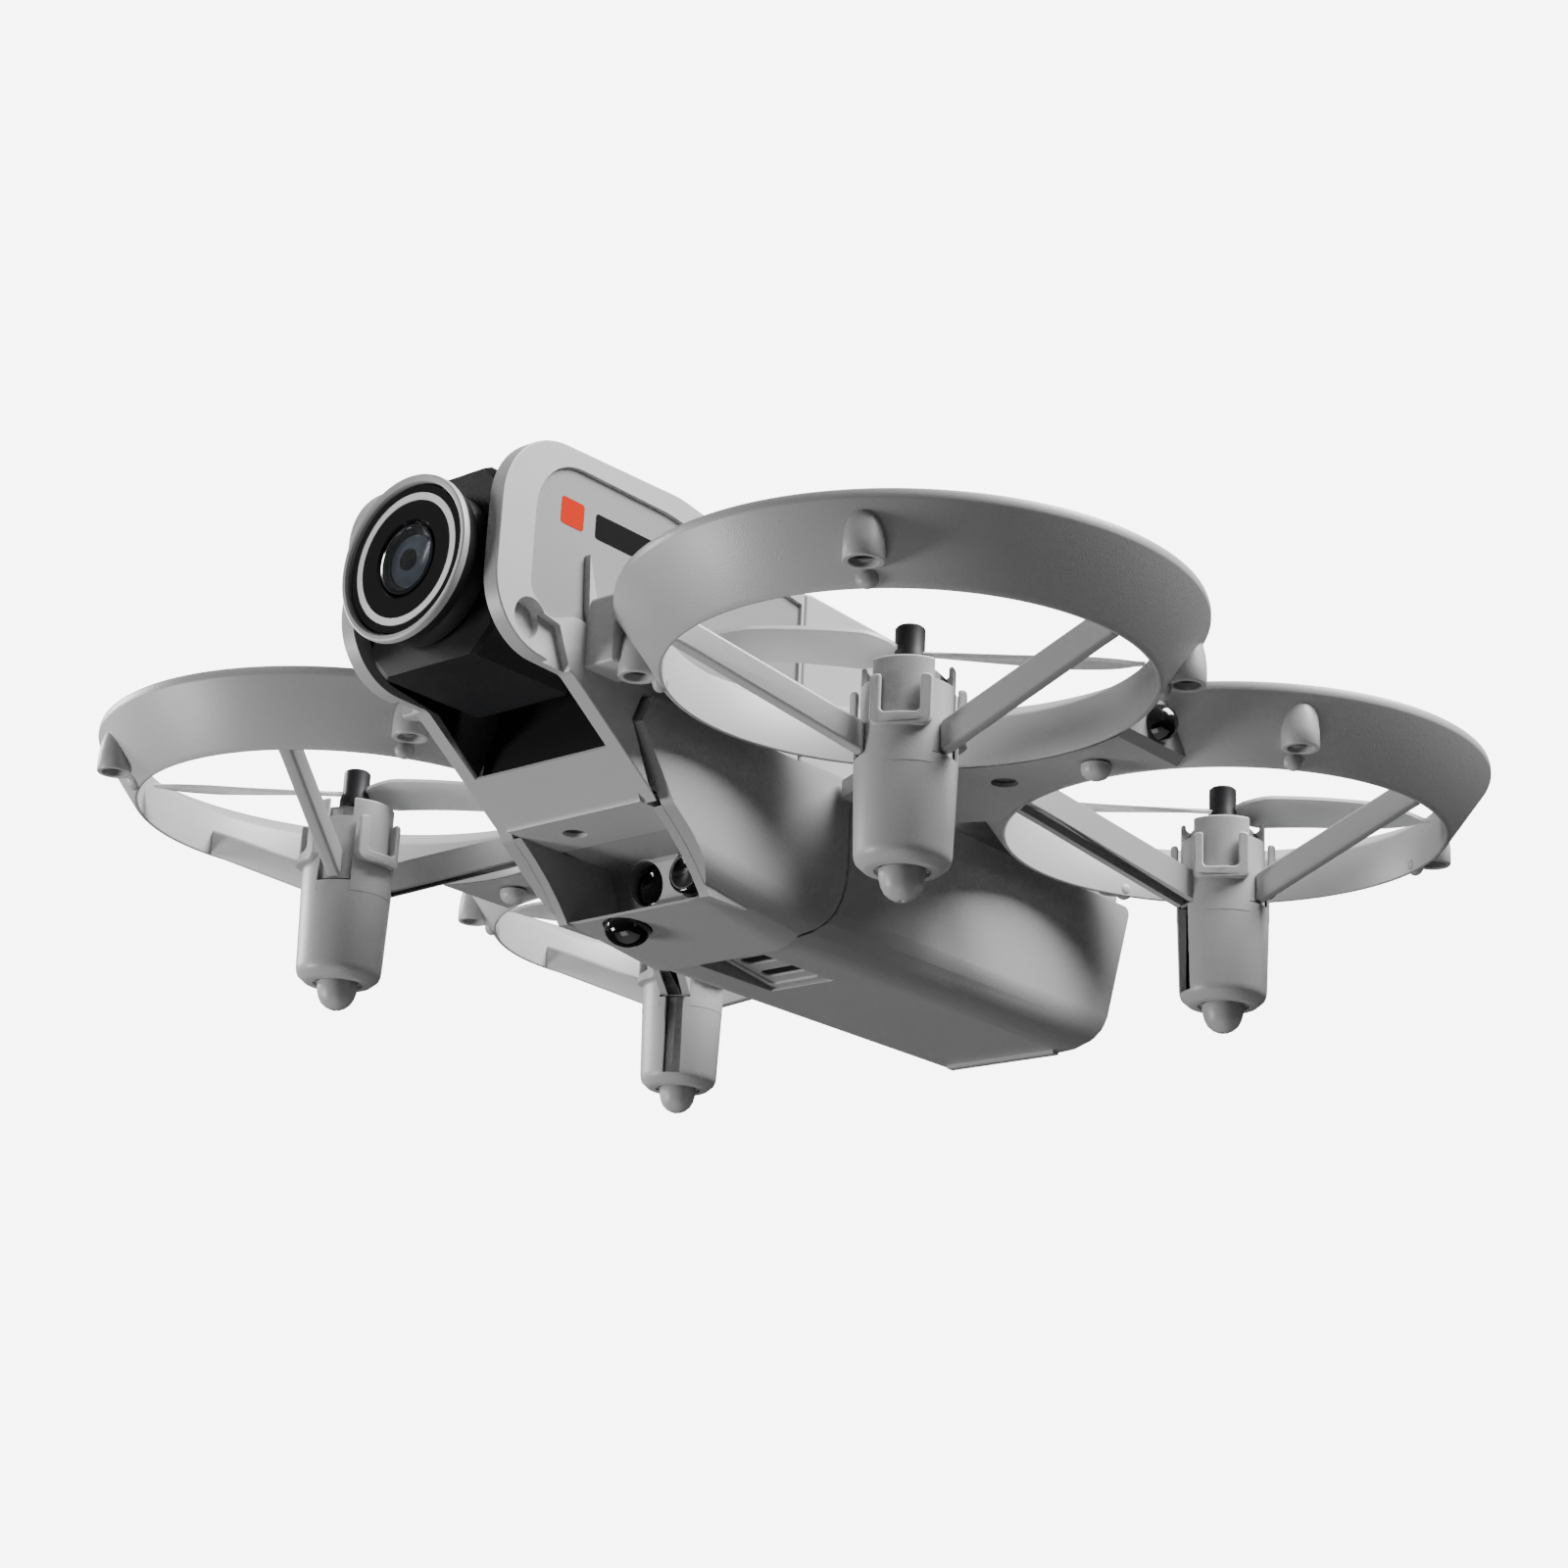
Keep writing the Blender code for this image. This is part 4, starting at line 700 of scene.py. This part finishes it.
# dark sheet behind the camera: painted shade at the back of the bay
backing = [
    (-41.0, 20.5), (-41.0, 23.6), (-39.3, 27.2), (-39.3, 51.3), (-39.6, 51.3), (-39.6, 27.3), (-41.25, 23.7),
    (-41.25, 20.5),
]
addPiece("bay_shade_backing", slabForm(backing, -10.3, 10.3), shadeBlack, "airframe")
print("nose made")


# spine, belly and battery

addOver("spine_cover", "rear_cover", shellGrey, "airframe", 0.12)
brow = [
    (-38, 17.5), (-34.5, 15.5), (-31.8, 13.5), (-29.4, 11.4), (-27.5, 9.4), (-26.2, 7.8), (-25.7, 7.0), (-25.5, 4.0),
    (-38, 4.0),
]


def browCutters(shift):
    # trims the front edge of both side walls beside the scoop
    sides = [slabForm(brow, *sorted((side * 10.2, side * 14.0))) for side in (-1, 1)]
    return [moved(form, Matrix.Translation((0, shift, 0))) for form in sides]


bellyForm = combined(nodeForm("belly_shell"), browCutters(middleY))
addOver("belly", "belly_shell", lowerGrey, "airframe", 0.3, bellyForm)
addOver("battery_shell", "battery_case", lowerGrey, "battery", 0.3)
latch = dict(front=-9.4, rear=4.7, half=4.55, deep=7.8, shallow=5.9, thick=1.0, slots=(-6.4, -2.5, 1.4),
             slotHalf=0.95, slotReach=3.2, slotDeep=0.7)


def latchForm():
    # sloping plate with a raised rim and three rounded slots across it
    front, rear, half, thick = latch["front"], latch["rear"], latch["half"], latch["thick"]
    rise = (latch["deep"] - latch["shallow"]) / (rear - front)

    def lean(form):
        for vert in form.verts:
            vert.co.z += (rear - vert.co.y / mm) * rise * mm
        return form

    def plate(inset, low, high, corner):
        outline = roundedBlock(inset - half, front + inset, half - inset, rear - inset, corner, 0.3)
        return slabForm(outline, latch["shallow"] + low, latch["shallow"] + high, "z")

    form = softened(plate(0, 0, thick, 0.9), 0.22, 2, sharper=60)
    cutters = [plate(0.85, -1, 0.3, 0.7)]
    for middle in latch["slots"]:
        reach, across, low = latch["slotReach"], latch["slotHalf"], latch["shallow"]
        outline = roundedBlock(-reach, middle - across, reach, middle + across, 0.9, 0.25)
        cutters.append(slabForm(outline, low - 1, low + latch["slotDeep"], "z"))
    back = slabForm(roundedBlock(-3.3, -7.5, 3.3, 2.5, 0.9), 6.5, 6.8, "z")  # dark sheet under the slots: painted shade seen through them
    return lean(combined(form, cutters)), lean(back)


latchShape, latchShadeFloor = latchForm()
addPiece("latch_shade_floor", latchShadeFloor, shadeBlack, "latch")
addPiece("latch_plate", latchShape, lowerGrey, "latch", ["battery_latch"], edge=0.1)
for name in ("left", "right"):
    addOver("side_bridge_" + name, "bridge_" + name, lowerGrey, "airframe", 0.2)

# small round fittings

def bodySpot(x, y, z):
    return bodyPlace @ Matrix.Translation((x * mm, y * mm, z * mm))


def sideways(x, z, side):
    return bodySpot(x, 0, z) @ Matrix.Rotation(side * math.pi / 2, 4, "Y")


def addFitting(name, form, finish, node, place):
    addPiece(name, form, finish, "airframe", [node], place, sharp=50)


fitting = dict(markerX=54.6, markerZ=27.3, nubX=46.4, nubTop=24.15, sensorX=3.55, sensorZ=12.6, scoopBack=-19.4,
               flow=(-3.6, -22.6), seam=((-14.6, 36.0, -11.6, 28.2), (-14.8, 28.3, -11.4, 28.2)),
               seamWide=0.22)
for side, name in ((1, "left"), (-1, "right")):
    marker = spunForm([
        (0, 2.5), (0.7, 2.4), (1.35, 2.0), (1.85, 1.35), (2.15, 0.6), (2.2, 0.3), (1.2, 0.3), (1.2, -1.6), (0, -1.6),
    ], 48, closed=False)
    place = sideways(side * fitting["markerX"], fitting["markerZ"], side)
    addFitting("side_light_" + name, marker, glossBlack, "marker_light_" + name, place)
    top = fitting["nubTop"]
    nub = spunForm([
        (0, top - 0.3), (1.75, top - 0.3), (1.75, top - 0.9), (1.6, top - 1.35), (1.25, top - 1.75), (0.7, top - 2.0),
        (0, top - 2.1),
    ], 48, closed=False)
    addFitting("bridge_nub_" + name, nub, shellGrey, "nub_" + name, bodySpot(side * fitting["nubX"], 0, 0))
for side, name, proud in ((1, "left", 1.9), (-1, "right", -0.5)):
    tube = spunForm([
        (0, proud - 0.35), (1.5, proud - 0.3), (1.75, proud - 0.08), (2.1, proud), (2.38, proud - 0.1),
        (2.5, proud - 0.35), (2.5, -3.2), (0, -3.2),
    ], 64, closed=False)
    spot = bodySpot(side * fitting["sensorX"], fitting["scoopBack"], fitting["sensorZ"])
    place = spot @ Matrix.Rotation(math.pi / 2, 4, "X")
    addFitting("range_eye_" + name, tube, glossBlack, "distance_sensor_" + name, place)
    outline = [(-35.6, 15.45), (-26.6, 7.7), (-26.0, 7.15), (-19.2, 7.15), (-19.2, 15.45)]
    filler = slabForm(outline, *sorted((side * 5.0, side * 11.75)))
    plan = [
        (11.8, -36.0), (10.35, -36.0), (10.35, -26.0), (10.2, -24.4), (9.8, -22.6), (9.2, -21.0), (8.6, -19.8),
        (8.4, -19.0), (11.8, -19.0),
    ]
    filler = combined(filler, [slabForm([(side * a, b) for a, b in plan], 6.0, 17.0, "z")], "INTERSECT")
    filler = combined(filler, browCutters(0))
    addPiece("scoop_side_" + name, filler, lowerGrey, "airframe", sharp=40)
leaning = slabForm([(-19.2, 7.1), (-19.42, 7.1), (-19.42, 10.5), (-20.9, 15.45), (-19.2, 15.45)], -10.4, 10.4)
sensorX, sensorZ = fitting["sensorX"], fitting["sensorZ"]
holes = [rodForm((x, -26.0, sensorZ), (x, -18.0, sensorZ), 2.6, steps=64) for x in (-sensorX, sensorX)]
addPiece("scoop_back", combined(leaning, holes), lowerGrey, "airframe", edge=0.08)
eyeX, eyeY = fitting["flow"]
eye = spunForm([
    (0, 4.3), (0.8, 4.36), (1.5, 4.6), (2.1, 5.0), (2.5, 5.5), (2.7, 6.0), (2.7, 6.9), (0, 6.9),
], 64, closed=False)
addFitting("flow_eye", eye, glossBlack, "flow_camera", bodySpot(eyeX, eyeY, 0))
# lid seam drawn on both flanks of the spine
for side, name in ((1, "left"), (-1, "right")):
    low, high = sorted((side * 12.12, side * 12.34))
    wide = fitting["seamWide"]
    outlines = [[(a, b), (a + wide, b), (c + wide, d), (c, d)] for a, b, c, d in fitting["seam"]]
    lines = [slabForm(outline, low, high) for outline in outlines]
    addPiece("lid_seam_" + name, gathered(lines), blackInk, "airframe")
print("body made")


# camera head, drawn along its own axis

lens = dict(height=37.1, reach=65.7, barrel=8.9, bezel=9.7, bezelT=2.2, wall=0.85, accent=(6.85, 7.67), glass=4.05)
headPlace = bodySpot(0, 0, lens["height"]) @ Matrix.Rotation(math.pi / 2, 4, "X")
front = lens["reach"]
deep = front - lens["bezelT"]
collar = 60.8
addOver("camera_head", "camera_housing", charcoal, "camera", 0.25)
barrel = spunForm([
    (0, deep - 0.3), (lens["barrel"] - 0.5, deep - 0.3), (lens["barrel"], collar + 1.6), (lens["barrel"], collar + 0.2),
    (lens["barrel"] - 0.2, collar), (7.4, collar), (7.4, collar - 3.2), (0, collar - 3.2),
], 96, closed=False)
addPiece("camera_barrel", barrel, charcoal, "camera", ["lens_barrel"], headPlace)
r, wall = lens["bezel"], lens["wall"]
bezel = spunForm([
    (r - 0.28, front), (r - 0.08, front - 0.1), (r, front - 0.35), (r, front - 0.8), (r - 0.1, front - 0.9),
    (r - wall, front - 0.9), (r - wall, front - 0.25), (r - wall + 0.2, front - 0.04),
], 128)
skirt = spunForm([
    (r - 0.12, front - 0.92), (r - 0.15, front - 1.3), (r - 0.45, deep - 0.1), (r - 0.6, deep - 0.2),
    (r - wall - 0.1, deep - 0.2), (r - wall - 0.1, front - 0.92),
], 128)
addPiece("bezel_skirt", skirt, charcoal, "camera", (), headPlace)
addPiece("camera_bezel", bezel, shellGrey, "camera", ["lens_bezel"], headPlace)
face = front - 0.6
low, high = lens["accent"]
plate = spunForm([
    (r - wall - 0.3, face), (r - wall - 0.3, deep), (lens["glass"] + 0.3, deep), (lens["glass"] + 0.3, face - 0.25),
    (lens["glass"] + 0.55, face), (low - 0.1, face), (low - 0.1, face - 0.35), (high + 0.1, face - 0.35),
    (high + 0.1, face),
], 128)
addPiece("camera_face", plate, glossBlack, "camera", ["lens_face"], headPlace)
accent = spunForm([(high, face + 0.02), (high, face - 0.3), (low, face - 0.3), (low, face + 0.02)], 128)
addPiece("camera_accent", accent, whiteAccent, "camera", ["accent_ring"], headPlace)
g = lens["glass"]
cup = spunForm([
    (0, deep), (g, deep), (g, face - 0.15), (g - 0.25, face - 0.1), (g - 0.35, face - 0.4), (g - 0.6, face - 0.55),
    (g - 0.65, face - 0.8), (g - 0.95, face - 0.9), (g - 1.0, face - 1.15), (0, face - 1.2),
], 96, closed=False)
addPiece("lens_cup", cup, lensDark, "camera", (), headPlace)
coated = spunForm([
    (0, face - 0.5), (1.3, face - 0.56), (2.2, face - 0.7), (2.95, face - 0.92), (2.95, face - 1.14), (0, face - 1.14),
], 96, closed=False)
addPiece("lens_element", coated, lensBlue, "camera", (), headPlace)
iris = spunForm([
    (0, face - 0.34), (0.9, face - 0.38), (1.25, face - 0.5), (1.25, face - 0.6), (0, face - 0.62),
], 64, closed=False)
addPiece("lens_iris", iris, glossBlack, "camera", (), headPlace)
dome = spunForm([
    (0, face + 0.18), (g * 0.35, face + 0.15), (g * 0.65, face + 0.06), (g - 0.35, face - 0.1), (g - 0.35, face - 0.2),
    (0, face - 0.22),
], 96, closed=False)
addPiece("lens_dome", dome, clearGlass, "camera", ["lens_glass"], headPlace)
print("camera head made")


# studio

def buildStudio():
    floor = bmesh.new()
    bmesh.ops.create_grid(floor, x_segments=1, y_segments=1, size=0.8)
    moved(floor, Matrix.Translation((0, 0, -0.95)))
    floorObject = asObject("studio_floor", floor)
    paper = bpy.data.materials.new("studioPaper")
    paper.use_nodes = True
    paper.node_tree.nodes["Principled BSDF"].inputs["Base Color"].default_value = (0.80, 0.80, 0.80, 1)
    paper.node_tree.nodes["Principled BSDF"].inputs["Roughness"].default_value = 0.9
    floorObject.data.materials.append(paper)
    world = bpy.data.worlds.new("studioAir")
    world.use_nodes = True
    bpy.context.scene.world = world
    nodes, links = world.node_tree.nodes, world.node_tree.links
    air = nodes["Background"]
    coords, split = nodes.new("ShaderNodeTexCoord"), nodes.new("ShaderNodeSeparateXYZ")
    ramp = nodes.new("ShaderNodeMapRange")
    ramp.inputs["From Min"].default_value, ramp.inputs["From Max"].default_value = -0.1, 0.7
    ramp.inputs["To Min"].default_value, ramp.inputs["To Max"].default_value = 0.01, 0.18
    links.new(coords.outputs["Generated"], split.inputs["Vector"])
    links.new(split.outputs["Z"], ramp.inputs["Value"])
    links.new(ramp.outputs["Result"], air.inputs["Color"])
    backdrop, chooser = nodes.new("ShaderNodeBackground"), nodes.new("ShaderNodeMixShader")
    backdrop.inputs["Strength"].default_value = 9.0
    links.new(nodes.new("ShaderNodeLightPath").outputs["Is Camera Ray"], chooser.inputs["Fac"])
    links.new(air.outputs["Background"], chooser.inputs[1])
    links.new(backdrop.outputs["Background"], chooser.inputs[2])
    links.new(chooser.outputs["Shader"], nodes["World Output"].inputs["Surface"])
    lamps = (
        ("left", (-0.50, -0.14, 0.18), 0.20, 3.0), ("top", (0.28, 0.10, 0.42), 0.30, 9.0),
        ("front", (-0.34, -0.42, -0.16), 0.15, 2.2), ("low", (0.04, -0.24, -0.45), 0.25, 0.35),
    )
    for name, spot, size, power in lamps:
        light = bpy.data.lights.new(name, "AREA")
        light.size, light.energy = size, power
        lamp = bpy.data.objects.new(name, light)
        bpy.context.scene.collection.objects.link(lamp)
        lamp.visible_camera = False
        lamp.location = spot
        lamp.rotation_euler = (Vector((0, 0, 0.03)) - Vector(spot)).to_track_quat("-Z", "Y").to_euler()


def buildCamera():
    view = bpy.data.cameras.new("view")
    view.lens, view.sensor_width, view.clip_start = 69.74, 36.0, 0.01
    camera = bpy.data.objects.new("view", view)
    bpy.context.scene.collection.objects.link(camera)
    camera.location = (0.2315, -0.2678, -0.0919)
    aim = Matrix(((0.76717, 0.17543, 0.61698), (0.63981, -0.27789, -0.71655), (0.04575, 0.94446, -0.32543)))
    camera.rotation_euler = aim.to_euler()
    bpy.context.scene.camera = camera


buildStudio()
buildCamera()
print("studio made")
